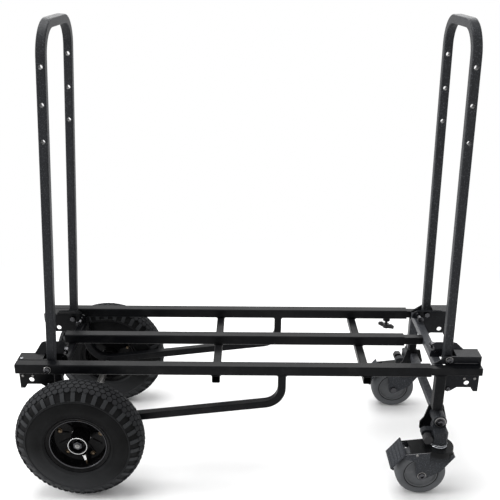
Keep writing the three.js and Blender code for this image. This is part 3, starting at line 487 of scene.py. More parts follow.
# Each finish: its maker, the material's name, a colour (a setting's name, or three values), a gain on
# the colour, and the maker's other values.
FINISHES = {
    "coat": (powder_coat, "satin_black_coat", "coat", 1.0, 0.40, 0.35),
    # The handles' coat is a paler copy of the frame's black coat, for the light that the handles' legs
    # catch: painted light.
    "coat_handles": (powder_coat, "handle_coat", "handle", 1.0, 0.38, 0.3),
    "coat_rails": (powder_coat, "rail_coat", "coat", 1.0, 0.36, 0.55),
    # The cross tubes' coat is a paler copy again: painted light.
    "coat_tubes": (powder_coat, "cross_tube_coat", "handle", 1.5, 0.34, 0.9),
    "coat_rear": (powder_coat, "rear_bracket_coat", "coat", 1.0, 0.34, 0.5),
    # The front brackets' coat is the frame's coat made 2.6 times paler: painted light.
    "coat_front": (powder_coat, "front_bracket_coat", "coat", 2.6, 0.30, 0.5),
    "coat_slide": (powder_coat, "slide_coat", "coat", 1.0, 0.30, 0.8),
    # The fork's coat gets painted shade on its roof and crown.
    "fork": (powder_coat, "caster_grey_coat", "caster", 1.0, 0.44, 0.4, fork_top_painted_shade),
    "arm": (powder_coat, "arm_grey_coat", "caster", 0.6, 0.42, 0.5),
    "pedal": (powder_coat, "pedal_grey_coat", "caster", 1.0, 0.5, 0.9),
    "tyre": (rubber, "tread_rubber", "tyre", 1.0, 0.72, 0.55),
    "sidewall": (sidewall_rubber, "sidewall_rubber", "sidewall", 1.0),
    # The lugs' rubber is a paler copy of the sidewall's: painted light, with patches of dust.
    "lug": (rubber, "lug_rubber", "lug", 1.0, 0.62, 0.5),
    "caster_tyre": (rubber, "caster_rubber", "caster_tyre", 1.0, 0.62, 0.3),
    "caster_core": (moulded, "caster_core_nylon", "caster_tyre", 1.0, 0.55),
    "enamel": (enamel, "gloss_black_enamel", "rim", 1.0),
    "zinc": (plated, "bright_zinc", (0.42, 0.43, 0.45), 1.0, 0.24),
    "black_bolt": (plated, "black_zinc", (0.07, 0.07, 0.075), 1.0, 0.22),
    # A pale metal finish for strips on folded edges and creases: painted highlight.
    "edge_highlight": (plated, "worn_enamel_edge", (0.12, 0.12, 0.125), 1.0, 0.2),
    "dull_zinc": (plated, "dull_zinc", (0.24, 0.235, 0.23), 1.0, 0.3),
    "rim_edge": (plated, "rim_lip_edge", (0.055, 0.055, 0.058), 1.0, 0.24),
    "ring": (plated, "turned_ring", (0.62, 0.62, 0.62), 1.0, 0.16),
    "brass": (plated, "valve_brass", (0.12, 0.09, 0.06), 1.0, 0.3),
    "knob": (moulded, "black_knob_plastic", "knob", 1.0, 0.5),
    "cap": (moulded, "black_cap_plastic", "knob", 1.0, 0.62),
    # A near-black finish for the rings in the casters' grooves: painted shade.
    "seam": (moulded, "dark_seam", "knob", 0.25, 0.8),
}


def finish(name):
    """The material of that name, made the first time that it is asked for."""
    if name not in MATERIALS:
        maker, title, colour, gain, *rest = FINISHES[name]
        if isinstance(colour, str):
            colour = getattr(bpy.context.scene.cart_colours, colour)
        MATERIALS[name] = maker(title, [part * gain for part in colour], *rest)
    return MATERIALS[name]


# ---------------------------------------------------------------- settings

def a_length(name, description, default):
    return bpy.props.FloatProperty(name=name, description=description, default=default, unit="LENGTH",
                                   subtype="DISTANCE")


def a_count(name, description, default, low, high):
    return bpy.props.IntProperty(name=name, description=description, default=default, min=low, max=high)


def a_colour(name, description, *default):
    return bpy.props.FloatVectorProperty(name=name, description=description, default=default,
                                         min=0.0, max=1.0, subtype="COLOR")


class CartSizes(bpy.types.PropertyGroup):
    handle_tube: a_length("Handle tube", "Outer width of the handles' square tube", 0.0172)
    handle_bend: a_length("Handle bend", "Radius of the handles' bends on the middle of the tube", 0.054)
    brace_tube: a_length("Brace tube", "Outer width of the braces' square tube", 0.016)
    tread_blocks: a_count("Tread blocks", "Blocks in each row around an air-filled tyre", 64, 12, 120)
    shoulder_lugs: a_count("Shoulder lugs", "Lugs around each shoulder of an air-filled tyre", 34, 12, 90)


class CartColours(bpy.types.PropertyGroup):
    coat: a_colour("Coat", "Powder coat of the frame", 0.0026, 0.0028, 0.0034)
    # A paler copy of the frame's coat, for the handles and some cross tubes: painted light.
    handle: a_colour("Handles", "Powder coat of the handles", 0.0195, 0.0205, 0.0228)
    caster: a_colour("Caster steel", "Paint of the forks, arms and pedals", 0.028, 0.030, 0.034)
    caster_tyre: a_colour("Caster tyre", "Rubber of the small wheels", 0.082, 0.085, 0.090)
    tyre: a_colour("Tyre", "Rubber of the air-filled wheels", 0.0125, 0.013, 0.0142)
    sidewall: a_colour("Sidewall", "Smoother rubber of the tyres' sides", 0.0032, 0.0033, 0.0035)
    # Six times paler than the sidewall rubber, for the light on the lugs: painted light.
    lug: a_colour("Shoulder lugs", "Dusty rubber of the shoulder lugs", 0.019, 0.020, 0.0215)
    rim: a_colour("Rim", "Enamel of the rims", 0.003, 0.003, 0.0033)
    knob: a_colour("Knobs", "Plastic of the knobs and caps", 0.010, 0.010, 0.011)


def sizes():
    return bpy.context.scene.cart_sizes


# ---------------------------------------------------------------- operators

class CART_OT_stage(bpy.types.Operator):
    """Adds the pale floor, the soft lights and the camera"""
    bl_idname = "cart.stage"
    bl_label = "Stage"

    def execute(self, context):
        floor = primitive("plane", "studio_floor", size=60.0)
        floor.data.materials.append(self.floor_paint())
        self.world(context.scene)
        self.lamp("overhead_panel", (-0.5, 0.3, 3.2), (0.0, 0.0, 0.3), (2.4, 2.4), 84.0)
        self.lamp("left_panel", (-2.8, -0.5, 1.3), (0.0, 0.0, 0.35), (1.4, 1.4), 62.0)
        self.lamp("front_panel", (1.4, -3.0, 2.2), (0.0, 0.0, 0.4), (1.8, 1.8), 7.0)
        self.lamp("back_panel", (0.5, 2.8, 2.2), (0.5, 0.0, 0.3), (5.4, 1.3), 56.0)
        self.camera(context.scene)
        return {"FINISHED"}

    @staticmethod
    def floor_paint():
        paint = Paint("pale_floor", Roughness=0.85)
        cloud = paint.noise(3.0, 3.0, 0.5)
        paint.set("Base Color", paint.mix(cloud, (0.90, 0.90, 0.90, 1.0), (0.92, 0.92, 0.92, 1.0)))
        x, y = paint.axis(0), paint.axis(1)
        reach = (x * x * 0.7 + y * y) ** 0.5
        far = paint.node("ShaderNodeMapRange", {"interpolation_type": "SMOOTHSTEP"},
                         {"Value": reach, "From Min": 0.5, "From Max": 1.25})
        white = paint.node("ShaderNodeEmission", {}, {"Color": (1, 1, 1, 1), "Strength": 1.0})
        mixed = paint.node("ShaderNodeMixShader", {}, {
            0: far, 1: Signal(paint, paint.surface.outputs[0]), 2: white})
        paint.feed(paint.tree.nodes["Material Output"].inputs["Surface"], mixed)
        return paint.material

    @staticmethod
    def world(scene):
        world = bpy.data.worlds.new("studio_air")
        scene.world = world
        world.use_nodes = True
        tree = world.node_tree
        tree.nodes.clear()
        path, seen, either, soft, white, mixed, out = (tree.nodes.new(f"ShaderNode{kind}") for kind in (
            "LightPath", "Math", "Math", "Background", "Background", "MixShader", "OutputWorld"))
        seen.operation = either.operation = "MAXIMUM"
        soft.inputs["Strength"].default_value = 0.5
        for air in (soft, white):
            air.inputs["Color"].default_value = (1, 1, 1, 1)
        link = tree.links.new
        link(path.outputs["Is Camera Ray"], seen.inputs[0])
        link(path.outputs["Is Glossy Ray"], seen.inputs[1])
        link(seen.outputs[0], either.inputs[0])
        link(path.outputs["Is Transmission Ray"], either.inputs[1])
        link(either.outputs[0], mixed.inputs[0])
        link(soft.outputs[0], mixed.inputs[1])
        link(white.outputs[0], mixed.inputs[2])
        link(mixed.outputs[0], out.inputs["Surface"])

    @staticmethod
    def lamp(name, place, target, size, power):
        clear()
        bpy.ops.object.light_add(type="AREA", location=place)
        lamp = bpy.context.object
        lamp.name = name
        lamp.data.shape = "ELLIPSE"
        lamp.data.size, lamp.data.size_y = size
        lamp.data.energy = power
        aim = Vector(target) - Vector(place)
        lamp.rotation_euler = aim.to_track_quat("-Z", "Y").to_euler()

    @staticmethod
    def camera(scene):
        clear()
        pitch, yaw = 21.67, -0.87
        bpy.ops.object.camera_add(location=(0.00497, -1.35678, 1.02992),
                                  rotation=(math.radians(90 - pitch), 0.0, math.radians(-yaw)))
        camera = bpy.context.object
        camera.name = "photo_camera"
        camera.data.sensor_width = 36.0
        camera.data.lens = 51.147
        camera.data.shift_x = 0.0186
        camera.data.shift_y = -0.0151
        scene.camera = camera
        scene.view_settings.view_transform = "Standard"


class CART_OT_rails(bpy.types.Operator):
    """Finishes the three outer rails and the three inner rails that slide in them"""
    bl_idname = "cart.rails"
    bl_label = "Rails"

    def execute(self, context):
        for which in ("near", "far", "centre"):
            dressed(f"outer_rail_{which}", finish("coat_rails"), 0.7, 3)
            dressed(f"inner_rail_{which}", finish("coat_slide"), 0.5, 3)
        return {"FINISHED"}


class CART_OT_cross_tubes(bpy.types.Operator):
    """Finishes the square tubes that run across the cart"""
    bl_idname = "cart.cross_tubes"
    bl_label = "Cross tubes"

    def execute(self, context):
        for node in ("rear_cross_tube", "cross_bar_mid", "cross_bar_front", "front_cross_tube",
                     "lower_cross_tube", "caster_leg_near", "caster_leg_far"):
            # The far caster leg and two cross tubes get the paler coat: painted light.
            lit_copy = node in ("front_cross_tube", "lower_cross_tube", "caster_leg_far")
            dressed(node, finish("coat_tubes" if lit_copy else "coat"), 0.5, 3)
        return {"FINISHED"}


def square_end(name, size, ease, turn):
    """A square with rounded corners, at the origin, ready to be drawn out into a tube."""
    piece = primitive("plane", name, size=size, rotation=turn)
    set_down(piece)
    edit(piece, "VERT")
    bpy.ops.mesh.bevel(offset=ease, segments=4, affect="VERTICES")
    bpy.ops.mesh.select_mode(type="FACE")
    bpy.ops.mesh.select_all(action="SELECT")
    return piece


def bend(centre, axis, degrees, steps):
    bpy.ops.mesh.spin(steps=steps, angle=math.radians(degrees), center=centre, axis=axis)


class CART_OT_handles(bpy.types.Operator):
    """Draws out and bends the two U-shaped handles and drills their legs"""
    bl_idname = "cart.handles"
    bl_label = "Handles"

    def execute(self, context):
        self.handle("left", 0.2129, (-0.4015, 0.0, 0.2669), 3.85)
        self.handle("right", 0.2075, (0.4044, 0.0, 0.2852), -1.23)
        return {"FINISHED"}

    def handle(self, side, width, pivot, lean):
        tube, radius = sizes().handle_tube, sizes().handle_bend
        foot, ease = 0.011, 0.0026
        tilt = math.radians(abs(lean))
        edge = tube / 2 - ease * 0.7
        height_over_all = 0.9369
        top = (height_over_all - pivot[2] - edge * math.sin(tilt)) / math.cos(tilt) - tube / 2
        leg = width / 2 - tube / 2
        name = f"handle_{side}_bent_tube"
        piece = square_end(name, tube, ease, (0, 0, 0))
        bpy.ops.transform.translate(value=(0, -leg, -foot))
        extrude((0, 0, top - radius + foot))
        bend((0, -leg + radius, top - radius), (1, 0, 0), 90, 16)
        extrude((0, 2 * (leg - radius), 0))
        bend((0, leg - radius, top - radius), (1, 0, 0), 90, 16)
        extrude((0, 0, -(top - radius + foot)))
        outward(piece)
        first_hole, hole_pitch, pivot_bore, drill = 0.079, 0.0664, 0.0, 4.3
        grip_holes = [(top + tube / 2 - first_hole - level * hole_pitch) / MM for level in range(3)]
        for height in (*grip_holes, pivot_bore):
            carve(piece, rod("drill", drill, width / MM + 40, 24, "Y", (0, 0, height)))
        rounded(piece, 0.0004, 2)
        piece.location = pivot
        piece.rotation_euler = (0.0, math.radians(lean), 0.0)
        set_down(piece)
        own(piece, f"handle_{side}", "coat_black", finish("coat_handles"), f"handle_{side}")


class CART_OT_braces(bpy.types.Operator):
    """Draws out and bends the two sled braces that carry the axle"""
    bl_idname = "cart.braces"
    bl_label = "Sled braces"

    def execute(self, context):
        tube = sizes().brace_tube
        rise = math.radians(7.25)
        rear, front, top = -0.3825, 0.0695, 0.2562
        rear_bend, front_bend = 0.055, 0.038
        run_x, run_z = -0.218, 0.1545
        low_rear, low_front = (run_z + math.tan(rise) * (end - run_x) for end in (rear, front))
        rear_turn, front_turn = math.pi / 2 + rise, math.pi / 2 - rise
        rear_reach = rear_bend * math.tan(rear_turn / 2)
        front_reach = front_bend * math.tan(front_turn / 2)
        along = Vector((math.cos(rise), 0.0, math.sin(rise)))
        for side, sign in SIDES:
            y = sign * RAIL_Y * MM
            piece = square_end(f"sled_brace_{side}_bent_tube", tube, 0.0024, (math.pi, 0, 0))
            bpy.ops.transform.translate(value=(rear, y, top))
            extrude((0, 0, -(top - low_rear - rear_reach)))
            bend((rear + rear_bend, y, low_rear + rear_reach), (0, 1, 0), math.degrees(rear_turn), 14)
            start = Vector((rear, y, low_rear)) + along * rear_reach
            finish_at = Vector((front, y, low_front)) - along * front_reach
            extrude(finish_at - start)
            centre = finish_at + Vector((-math.sin(rise), 0.0, math.cos(rise))) * front_bend
            bend(centre, (0, 1, 0), math.degrees(front_turn), 12)
            extrude((0, 0, top - low_front - front_reach))
            outward(piece)
            carve(piece, rod("notch", 8.3, 30, 32, "Y", (AXLE_X, y / MM, AXLE_Z)))
            rounded(piece, 0.0004, 2)
            own(piece, "rear_frame", "coat_black", finish("coat"), f"sled_brace_{side}")
        return {"FINISHED"}


class CART_OT_brackets(bpy.types.Operator):
    """Finishes the folded sheet brackets and the fold plates"""
    bl_idname = "cart.brackets"
    bl_label = "Brackets and plates"

    def execute(self, context):
        for side, _ in SIDES:
            for end in ("rear", "front"):
                dressed(f"{end}_bracket_{side}", finish(f"coat_{end}"), 0.45, 2)
            dressed(f"fold_plate_{side}", finish("coat"), 0.5, 2)
        return {"FINISHED"}


class CART_OT_fasteners(bpy.types.Operator):
    """Finishes the axle, nuts, swivel races, lock pins and bolts, and adds the bolts' washers"""
    bl_idname = "cart.fasteners"
    bl_label = "Bolts, axle and pins"

    def execute(self, context):
        self.centre_drill(dressed("axle", finish("dull_zinc"), 0.5, 2))
        for side, sign in SIDES:
            dressed(f"swivel_race_{side}", finish("zinc"), 0.5, 2)
            for name in ("axle_nut", "rear_lock_pin", "front_lock_pin"):
                dressed(f"{name}_{side}", finish("black_bolt"), 0.5, 2)
            for name, head in (("rear_pivot_bolt", 4.1), ("front_pivot_bolt", 4.1), ("fold_bolt", 0.0),
                               ("caster_bolt", 3.6)):
                node = f"{name}_{side}"
                bolt = dressed(node, finish("black_bolt"), 0.8, 2)
                middle, reach = self.socket(bolt, sign)
                if head:
                    ring = self.washer(f"{name}_washer_{side}", sign, middle, reach, head)
                    own(ring, BODY_OF[node], "zinc_bright", finish("dull_zinc"))
        return {"FINISHED"}

    @staticmethod
    def socket(bolt, sign):
        """Sinks a six-sided socket in the outboard face of a bolt's head."""
        face = max(sign * vertex.co.y for vertex in bolt.data.vertices)
        rim = [vertex.co for vertex in bolt.data.vertices if sign * vertex.co.y > face - 0.001]
        middle = sum(rim, Vector()) / len(rim)
        reach = max((point - middle).length for point in rim)
        centre = (middle.x / MM, sign * face / MM, middle.z / MM)
        carve(bolt, rod("socket_drill", reach * 0.5 / MM, 4.4, 6, "Y", centre))
        return centre, reach / MM

    @staticmethod
    def washer(name, sign, centre, reach, head):
        """A thin bright washer around the foot of a bolt's head."""
        ring = turned(name, [(reach + r, y) for r, y in (
            (0.1, -0.7), (1.0, -0.7), (1.5, -0.2), (1.5, 0.0), (0.1, 0.0))], 32)
        smoothed(ring, 30.0)
        return settled(ring, (centre[0], centre[1] - sign * head, centre[2]), outboard(sign))

    @staticmethod
    def centre_drill(axle):
        for side, sign in SIDES:
            drill = primitive("cone", f"drill_{side}", vertices=24, radius1=0.0064, radius2=0.0,
                              depth=0.005, location=(AXLE_X * MM, sign * 0.1988, AXLE_Z * MM),
                              rotation=(sign * math.pi / 2, 0, 0))
            carve(axle, drill)


class CART_OT_fittings(bpy.types.Operator):
    """Adds the tubes' end plugs, the weld beads, the brackets' screws and the rivets of the forks"""
    bl_idname = "cart.fittings"
    bl_label = "Plugs, welds, screws and rivets"

    def execute(self, context):
        self.plugs()
        self.welds()
        self.screws()
        return {"FINISHED"}

    @staticmethod
    def plugs():
        for side, sign in SIDES:
            for end, x, width, body in (("left", -466.6, 17.0, "rear_frame"),
                                        ("right", 468.0, 13.0, "front_frame")):
                out = 1 if x > 0 else -1
                plug = primitive("cube", f"end_plug_{end}_{side}", size=1.0)
                plug.scale = (0.006, width * MM, width * MM)
                settled(plug, (x - out * 3.0, sign * RAIL_Y, RAIL_Z))
                edit(plug)
                pick(plug, lambda face: face.normal.x * out > 0.9)
                bpy.ops.mesh.inset(thickness=0.0024)
                bpy.ops.transform.translate(value=(-out * 0.0009, 0, 0))
                object_mode()
                rounded(plug, 0.0003, 2)
                own(plug, body, "coat_black", finish("cap"))

    @staticmethod
    def welds():
        master = weld_bead("weld_master", 17.0)
        across, along = (0, 0, 90), (0, 0, 0)
        bar_edges = (-71.8, -55.2, 231.7, 248.3)
        brace_z, bar_z, slide_z = 256.2, 256.0, 258.4
        places = []
        for side, sign in SIDES:
            rail, face = sign * RAIL_Y, sign * 132.0
            places += [(x, face, brace_z, along, "rear_frame") for x in (69.5, -382.5)]
            places += [(387.0, sign * 132.4, slide_z, along, "front_frame")]
            places += [(x, rail, brace_z, across, "rear_frame") for x in (78.0, 61.0, -374.0, -391.0)]
            places += [(x, rail, bar_z, across, "rear_frame") for x in bar_edges]
            places += [(x, rail, slide_z, across, "front_frame") for x in (376.7, 397.3)]
        places += [(x, 0.0, bar_z, across, "rear_frame") for x in (*bar_edges, -374.2)]
        for number, (x, y, z, turn, body) in enumerate(places):
            bead = placed(master, f"weld_bead_{number}", (x, y, z), turn)
            own(bead, body, "coat_black", finish("coat"))
        discard(master)

    @staticmethod
    def strip(name, length, at, tilt):
        """A narrow rounded edge along X, tilted about Y."""
        piece = primitive("cube", name, size=1.0)
        piece.scale = (length * MM, 0.0010, 0.0012)
        set_down(piece)
        rounded(piece, 0.0004, 2)
        return settled(piece, at, (0, tilt, 0))

    def screws(self):
        screw = button_head("screw_master", 4.6, 2.8)
        rivet = button_head("rivet_master", 2.7, 1.5)
        small = button_head("small_screw_master", 3.0, 1.9)
        rear_face, front_face, half_fork = 113.0, 115.3, 22.8
        for side, sign in SIDES:
            facing, back = outboard(sign), outboard(-sign)
            for end, x, face, body in (("rear", -406.5, rear_face, "rear_frame"),
                                       ("front", 407.9, front_face, "front_frame")):
                piece = placed(screw, f"{end}_bracket_screw_{side}", (x, sign * face, 219.0), facing)
                own(piece, body, "zinc_bright", finish("black_bolt"))
            piece = placed(small, f"rear_bracket_top_screw_{side}", (-459.0, sign * 107.5, 277.5),
                           (-90, 0, 0))
            own(piece, "rear_frame", "zinc_bright", finish("zinc"))
            for face, turn in (("outer", facing), ("inner", back)):
                reach = half_fork if face == "outer" else -half_fork
                plane = sign * (CASTER_Y + reach)
                piece = placed(rivet, f"fork_rivet_{face}_{side}", (343.4, plane, 101.8), turn)
                own(piece, f"swivel_{side}", "zinc_bright", finish("dull_zinc"))
                # A pale strip along the fork's folded top edge: painted highlight.
                edge = self.strip(f"fork_edge_{face}_{side}", 50.0, (344.4, plane, 105.7), -7.14)
                own(edge, f"swivel_{side}", "casting_grey", finish("edge_highlight"))
            for end, places, face, body in (
                    ("rear", ((-438.7, 239.5), (-459.4, 239.5)), rear_face, "rear_frame"),
                    ("front", ((438.6, 243.0), (459.4, 243.0)), front_face, "front_frame")):
                for number, (x, z) in enumerate(places):
                    piece = placed(small, f"{end}_hook_screw_{number}_{side}", (x, sign * face, z), facing)
                    own(piece, body, "zinc_bright", finish("dull_zinc"))
            # A pale strip along the crease of the bracket's box: painted highlight.
            crease = self.strip(f"front_bracket_seam_{side}", 47.0, (438.2, sign * 115.5, 278.2), 0.0)
            own(crease, "front_frame", "coat_black", finish("edge_highlight"))
            washer = turned(f"fold_washer_{side}", [(9.4, -0.6), (10.7, -0.6), (11.2, -0.1), (11.2, 0.8),
                                                    (9.4, 0.8)], 40)
            smoothed(washer, 30.0)
            settled(washer, (FOLD_X, sign * 148.2, FOLD_Z))
            own(washer, f"arm_{side}", "zinc_bright", finish("dull_zinc"))
        discard(screw, rivet, small)


class CART_OT_tyres(bpy.types.Operator):
    """Turns the air-filled tyres and sets their tread blocks and shoulder lugs"""
    bl_idname = "cart.tyres"
    bl_label = "Air-filled tyres"

    def execute(self, context):
        wall = self.carcass()
        tread = joined("tread_pattern", self.rows())
        lugs = joined("lug_pattern", self.lugs())
        for side, sign in SIDES:
            for master, label, paint, stands in (
                    (wall, "carcass", "sidewall", (f"wheel_tyre_{side}",)), (tread, "tread", "tyre", ()),
                    (lugs, "shoulder_lugs", "lug", ())):
                place = (AXLE_X, sign * WHEEL_Y, AXLE_Z)
                piece = placed(master, f"tyre_{label}_{side}", place, outboard(sign))
                own(piece, f"wheel_{side}", "tyre_black", finish(paint), *stands)
        discard(wall, tread, lugs)
        return {"FINISHED"}

    @staticmethod
    def carcass():
        side = [(58.4, 20.2), (60.8, 23.6), (65.0, 24.8), (65.9, 25.8), (66.2, 28.0), (67.8, 28.8),
                (69.4, 30.8), (71.0, 31.5), (72.6, 31.1), (79.0, 32.3), (88.0, 32.8), (97.0, 32.0),
                (102.2, 30.9), (103.2, 31.9), (104.8, 32.0), (106.0, 31.4), (106.8, 30.0), (112.4, 27.6),
                (118.6, 23.4), (123.4, 18.4), (126.6, 12.6), (128.4, 6.0), (128.8, 0.0)]
        inside = [(120.0, 0.0), (116.0, 14.0), (100.0, 25.0), (80.0, 26.0), (64.0, 19.0), (58.4, 14.8)]
        outer = [(r, -y) for r, y in side] + [(r, y) for r, y in reversed(side[:-1])]
        inner = [(r, y) for r, y in reversed(inside[1:])] + [(r, -y) for r, y in inside]
        piece = turned("tyre_carcass", outer + inner, 120)
        return smoothed(piece, 32.0)

    @staticmethod
    def ring_of(piece, count):
        edit(piece)
        share = (count - 1) / count
        bpy.ops.mesh.spin(steps=count - 1, angle=2 * math.pi * share, center=(0, 0, 0), axis=(0, 1, 0),
                          dupli=True)
        object_mode()
        return piece

    def rows(self):
        count = sizes().tread_blocks
        pieces = []
        for row, (y, radius, tilt) in enumerate(((-19.2, 126.0, 31), (-10.2, 129.6, 14), (0.0, 130.6, 0),
                                                 (10.2, 129.6, -14), (19.2, 126.0, -31))):
            block = primitive("cylinder", f"tread_row_{row}", vertices=6, radius=0.0060, depth=0.0044,
                              location=(0, 0, -0.0022))
            block.scale = (1.0, 0.9, 1.0)
            set_down(block)
            edit(block, "FACE")
            pick(block, lambda face: face.normal.z > 0.9)
            bpy.ops.mesh.inset(thickness=0.0007)
            pick(block, lambda vert: vert.co.z > -0.0001 and abs(vert.co.x) + abs(vert.co.y) > 0.0053,
                 "verts")
            bpy.ops.transform.translate(value=(0, 0, -0.0007))
            object_mode()
            settled(block, (0, y, radius), (tilt, 0, 0))
            settled(block, turn=(0, 180 / count * (row % 2), 0))
            pieces.append(smoothed(self.ring_of(block, count), 25.0))
        return pieces

    def lugs(self):
        count = sizes().shoulder_lugs
        pieces = []
        for side, sign in SIDES:
            half = 0.0042
            lug = outline(f"shoulder_{side}", [(-half, sign * y * MM, r * MM) for r, y in (
                (106.2, 32.0), (107.6, 31.6), (113.0, 28.9), (119.2, 24.6), (122.6, 21.4), (120.6, 19.0),
                (112.0, 25.0), (106.0, 28.6))])
            bpy.ops.mesh.edge_face_add()
            extrude((2 * half, 0.0, 0.0))
            outward(lug)
            modify(lug, "BEVEL", width=0.0005, segments=1)
            pieces.append(smoothed(self.ring_of(lug, count), 25.0))
        return pieces


class CART_OT_rims(bpy.types.Operator):
    """Turns the dished rims and hubs, and adds their bolts and valves"""
    bl_idname = "cart.rims"
    bl_label = "Rims and hubs"

    def execute(self, context):
        front = [(19.6, 6.0), (23.0, 5.8), (30.0, 4.4), (37.2, 2.0), (43.0, -0.2), (48.5, -2.4),
                 (52.2, -4.4), (54.2, -7.6), (55.0, -12.0)]
        lip = [(55.0, 17.0), (56.2, 21.6), (58.4, 25.0), (61.6, 27.5), (63.8, 28.0), (65.2, 27.4),
               (65.4, 26.2), (64.6, 25.3), (60.4, 24.2), (58.2, 20.8), (58.0, 17.0)]
        back = [(55.0, 1.2), (52.6, 0.4), (48.5, 1.6), (43.0, 3.8), (37.2, 6.0), (30.0, 8.4), (23.0, 9.8),
                (19.6, 10.0)]
        dish = turned("rim_dish", front + [(r, -y) for r, y in lip] + lip[::-1] + back, 96)
        rim = joined("rim_pressing", [smoothed(dish, 28.0), self.ribs()])
        hub = turned("hub_barrel", [
            (8.4, -19.6), (15.8, -19.6), (16.2, -20.4), (16.4, -28.2), (17.0, -28.9), (18.6, -28.9),
            (19.3, -28.2), (19.4, 28.2), (18.6, 28.9), (8.4, 28.9)], 64)
        smoothed(hub, 30.0)
        collar = turned("hub_ring", [
            (18.0, -28.7), (18.3, -29.4), (19.3, -29.4), (19.8, -28.7), (19.8, -26.0), (19.45, -26.0),
            (19.45, -28.3), (18.0, -28.3)], 64)
        smoothed(collar, 40.0)
        bead = turned("lip_bead", [
            (55.6, -24.2), (55.8, -25.2), (56.7, -25.8), (57.7, -25.6), (57.9, -24.9), (56.6, -23.8)], 96)
        smoothed(bead, 50.0)
        bolts = joined("rim_bolts", [self.bolt(index) for index in range(5)])
        stem, cap = self.valve()
        masters = (
            (rim, "rim_dish", "gloss_black", "enamel", "wheel_rim"),
            (hub, "hub_barrel", "gloss_black", "enamel", "wheel_hub"),
            (collar, "hub_bright_ring", "zinc_bright", "ring", None),
            (bead, "rim_lip_bead", "gloss_black", "rim_edge", None),
            (bolts, "rim_bolts", "zinc_bright", "brass", None),
            (stem, "valve_stem", "zinc_bright", "brass", None),
            (cap, "valve_cap", "zinc_bright", "ring", None))
        for side, sign in SIDES:
            for master, label, slot, paint, node in masters:
                place = (AXLE_X, sign * WHEEL_Y, AXLE_Z)
                piece = placed(master, f"{label}_{side}", place, outboard(sign))
                stands = (f"{node}_{side}",) if node else ()
                own(piece, f"wheel_{side}", slot, finish(paint), *stands)
        discard(*(master for master, *_ in masters))
        return {"FINISHED"}

    @staticmethod
    def ribs():
        rib = primitive("cube", "dish_ribs", size=1.0)
        rib.scale = (0.0030, 0.0034, 0.0225)
        set_down(rib)
        rounded(rib, 0.0012, 2)
        return CART_OT_tyres.ring_of(settled(rib, (0, 2.6, 35.2), (18, 0, 0)), 10)

    @staticmethod
    def bolt(index):
        angle = math.radians(72 * index - 58)
        piece = turned(f"rim_bolt_{index}", [
            (0.0, -5.4), (2.2, -5.2), (3.7, -4.3), (4.3, -3.0), (4.3, -2.0), (5.6, -2.0), (5.6, -0.9),
            (3.0, -0.9), (3.0, 7.0), (0.0, 7.0)], 18)
        reach = 44.5
        return smoothed(settled(piece, (math.cos(angle) * reach, 0, math.sin(angle) * reach)), 30.0)

    @staticmethod
    def valve():
        stem = rod("valve_stem_master", 2.9, 18, 18, "X", (47.0, -12.0, 0.0))
        rounded(stem, 0.0004, 2)
        cap = rod("valve_cap_master", 4.6, 13, 18, "X", (38.5, -13.0, 0.0))
        rounded(cap, 0.0012, 3)
        for piece in (stem, cap):
            settled(piece, turn=(0, 77, 0))
        return stem, cap


class CART_OT_caster_arms(bpy.types.Operator):
    """Finishes the folding arms of the casters and their plungers"""
    bl_idname = "cart.caster_arms"
    bl_label = "Caster arms"

    def execute(self, context):
        for side, sign in SIDES:
            arm = dressed(f"caster_arm_{side}", finish("arm"), 0.9, 3)
            carve(arm, rod("arm_bore", 5.35, 20, 48, "Y", (FOLD_X, sign * 138.7, FOLD_Z)))
            dressed(f"plunger_{side}", finish("knob"), 0.6, 2)
        return {"FINISHED"}


class CART_OT_forks(bpy.types.Operator):
    """Finishes the forks and the brake pedals"""
    bl_idname = "cart.forks"
    bl_label = "Forks and pedals"

    def execute(self, context):
        for side, _ in SIDES:
            dressed(f"fork_{side}", finish("fork"), 0.9, 3)
            dressed(f"brake_pedal_{side}", finish("pedal"), 0.4, 2)
        return {"FINISHED"}


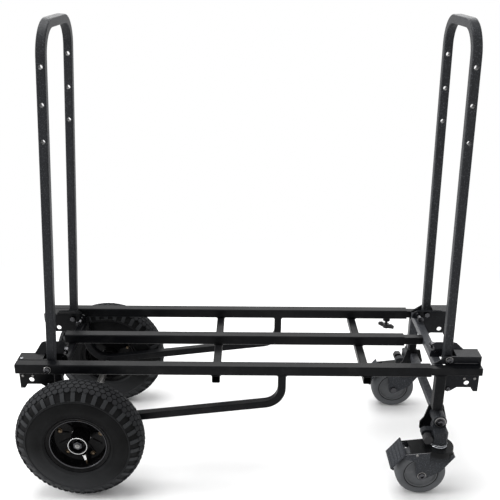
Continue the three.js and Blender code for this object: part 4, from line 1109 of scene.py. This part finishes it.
class CART_OT_caster_wheels(bpy.types.Operator):
    """Turns the small wheels with their rounded solid tyres and dished cores"""
    bl_idname = "cart.caster_wheels"
    bl_label = "Caster wheels"

    def execute(self, context):
        half = [(34.9, 14.6), (35.8, 16.2), (37.4, 17.2), (40.5, 17.8), (44.5, 17.6), (48.0, 16.1),
                (50.2, 13.2), (51.2, 8.6), (51.5, 3.0)]
        tyre = turned("caster_tyre_master", mirrored(half), 96)
        smoothed(tyre, 40.0)
        core_half = [(5.6, 19.2), (10.4, 19.2), (11.0, 18.6), (11.4, 13.4), (13.4, 12.0), (27.4, 11.4),
                     (30.2, 12.4), (31.4, 14.8), (32.4, 15.6), (33.8, 15.6), (34.5, 14.4)]
        core = turned("caster_core_master", mirrored(core_half), 72)
        smoothed(core, 34.0)
        # A thin near-black ring in the groove between core and tyre, for the shade in it: painted shade.
        seam = [(33.2, 15.0), (33.9, 15.9), (35.4, 15.9), (36.2, 15.0)]
        seams = [turned(f"seam_master_{sign}", [(r, sign * y) for r, y in seam], 72) for _, sign in SIDES]
        seam = smoothed(joined("caster_seam_master", seams), 40.0)
        for side, sign in SIDES:
            for master, label, slot, paint in ((tyre, "tyre", "caster_rubber", "caster_tyre"),
                                               (core, "core", "caster_core", "caster_core"),
                                               (seam, "seam", "coat_black", "seam")):
                place = (CASTER_X, sign * CASTER_Y, CASTER_Z)
                piece = placed(master, f"caster_{label}_turned_{side}", place)
                stands = () if label == "seam" else (f"caster_{label}_{side}",)
                own(piece, f"caster_wheel_{side}", slot, finish(paint), *stands)
        discard(tyre, core, seam)
        return {"FINISHED"}


class CART_OT_clamp_knob(bpy.types.Operator):
    """Finishes the wing knob that clamps the far slide"""
    bl_idname = "cart.clamp_knob"
    bl_label = "Clamp knob"

    def execute(self, context):
        dressed("clamp_knob", finish("knob"), 1.2, 3)
        return {"FINISHED"}


PARTS = (CART_OT_rails, CART_OT_cross_tubes, CART_OT_handles, CART_OT_braces, CART_OT_brackets,
         CART_OT_fasteners, CART_OT_fittings, CART_OT_tyres, CART_OT_rims, CART_OT_caster_arms,
         CART_OT_forks, CART_OT_caster_wheels, CART_OT_clamp_knob, CART_OT_stage)


class CART_PT_parts(bpy.types.Panel):
    """Lists the cart's settings and the operators that build it"""
    bl_idname = "CART_PT_parts"
    bl_label = "Folding Equipment Cart"
    bl_space_type = "VIEW_3D"
    bl_region_type = "UI"
    bl_category = "Cart"

    def draw(self, context):
        column = self.layout.column()
        for group in (context.scene.cart_sizes, context.scene.cart_colours):
            for name in group.__annotations__:
                column.prop(group, name)
        for part in PARTS:
            column.operator(part.bl_idname)


CLASSES = (CartSizes, CartColours, *PARTS, CART_PT_parts)


def register():
    for item in CLASSES:
        bpy.utils.register_class(item)
    bpy.types.Scene.cart_sizes = bpy.props.PointerProperty(type=CartSizes)
    bpy.types.Scene.cart_colours = bpy.props.PointerProperty(type=CartColours)


def unregister():
    del bpy.types.Scene.cart_colours
    del bpy.types.Scene.cart_sizes
    for item in reversed(CLASSES):
        bpy.utils.unregister_class(item)


def main():
    register()
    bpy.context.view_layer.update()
    for part in PARTS:
        family, action = part.bl_idname.split(".")
        getattr(getattr(bpy.ops, family), action)()
    clear()


if __name__ == "__main__":
    main()
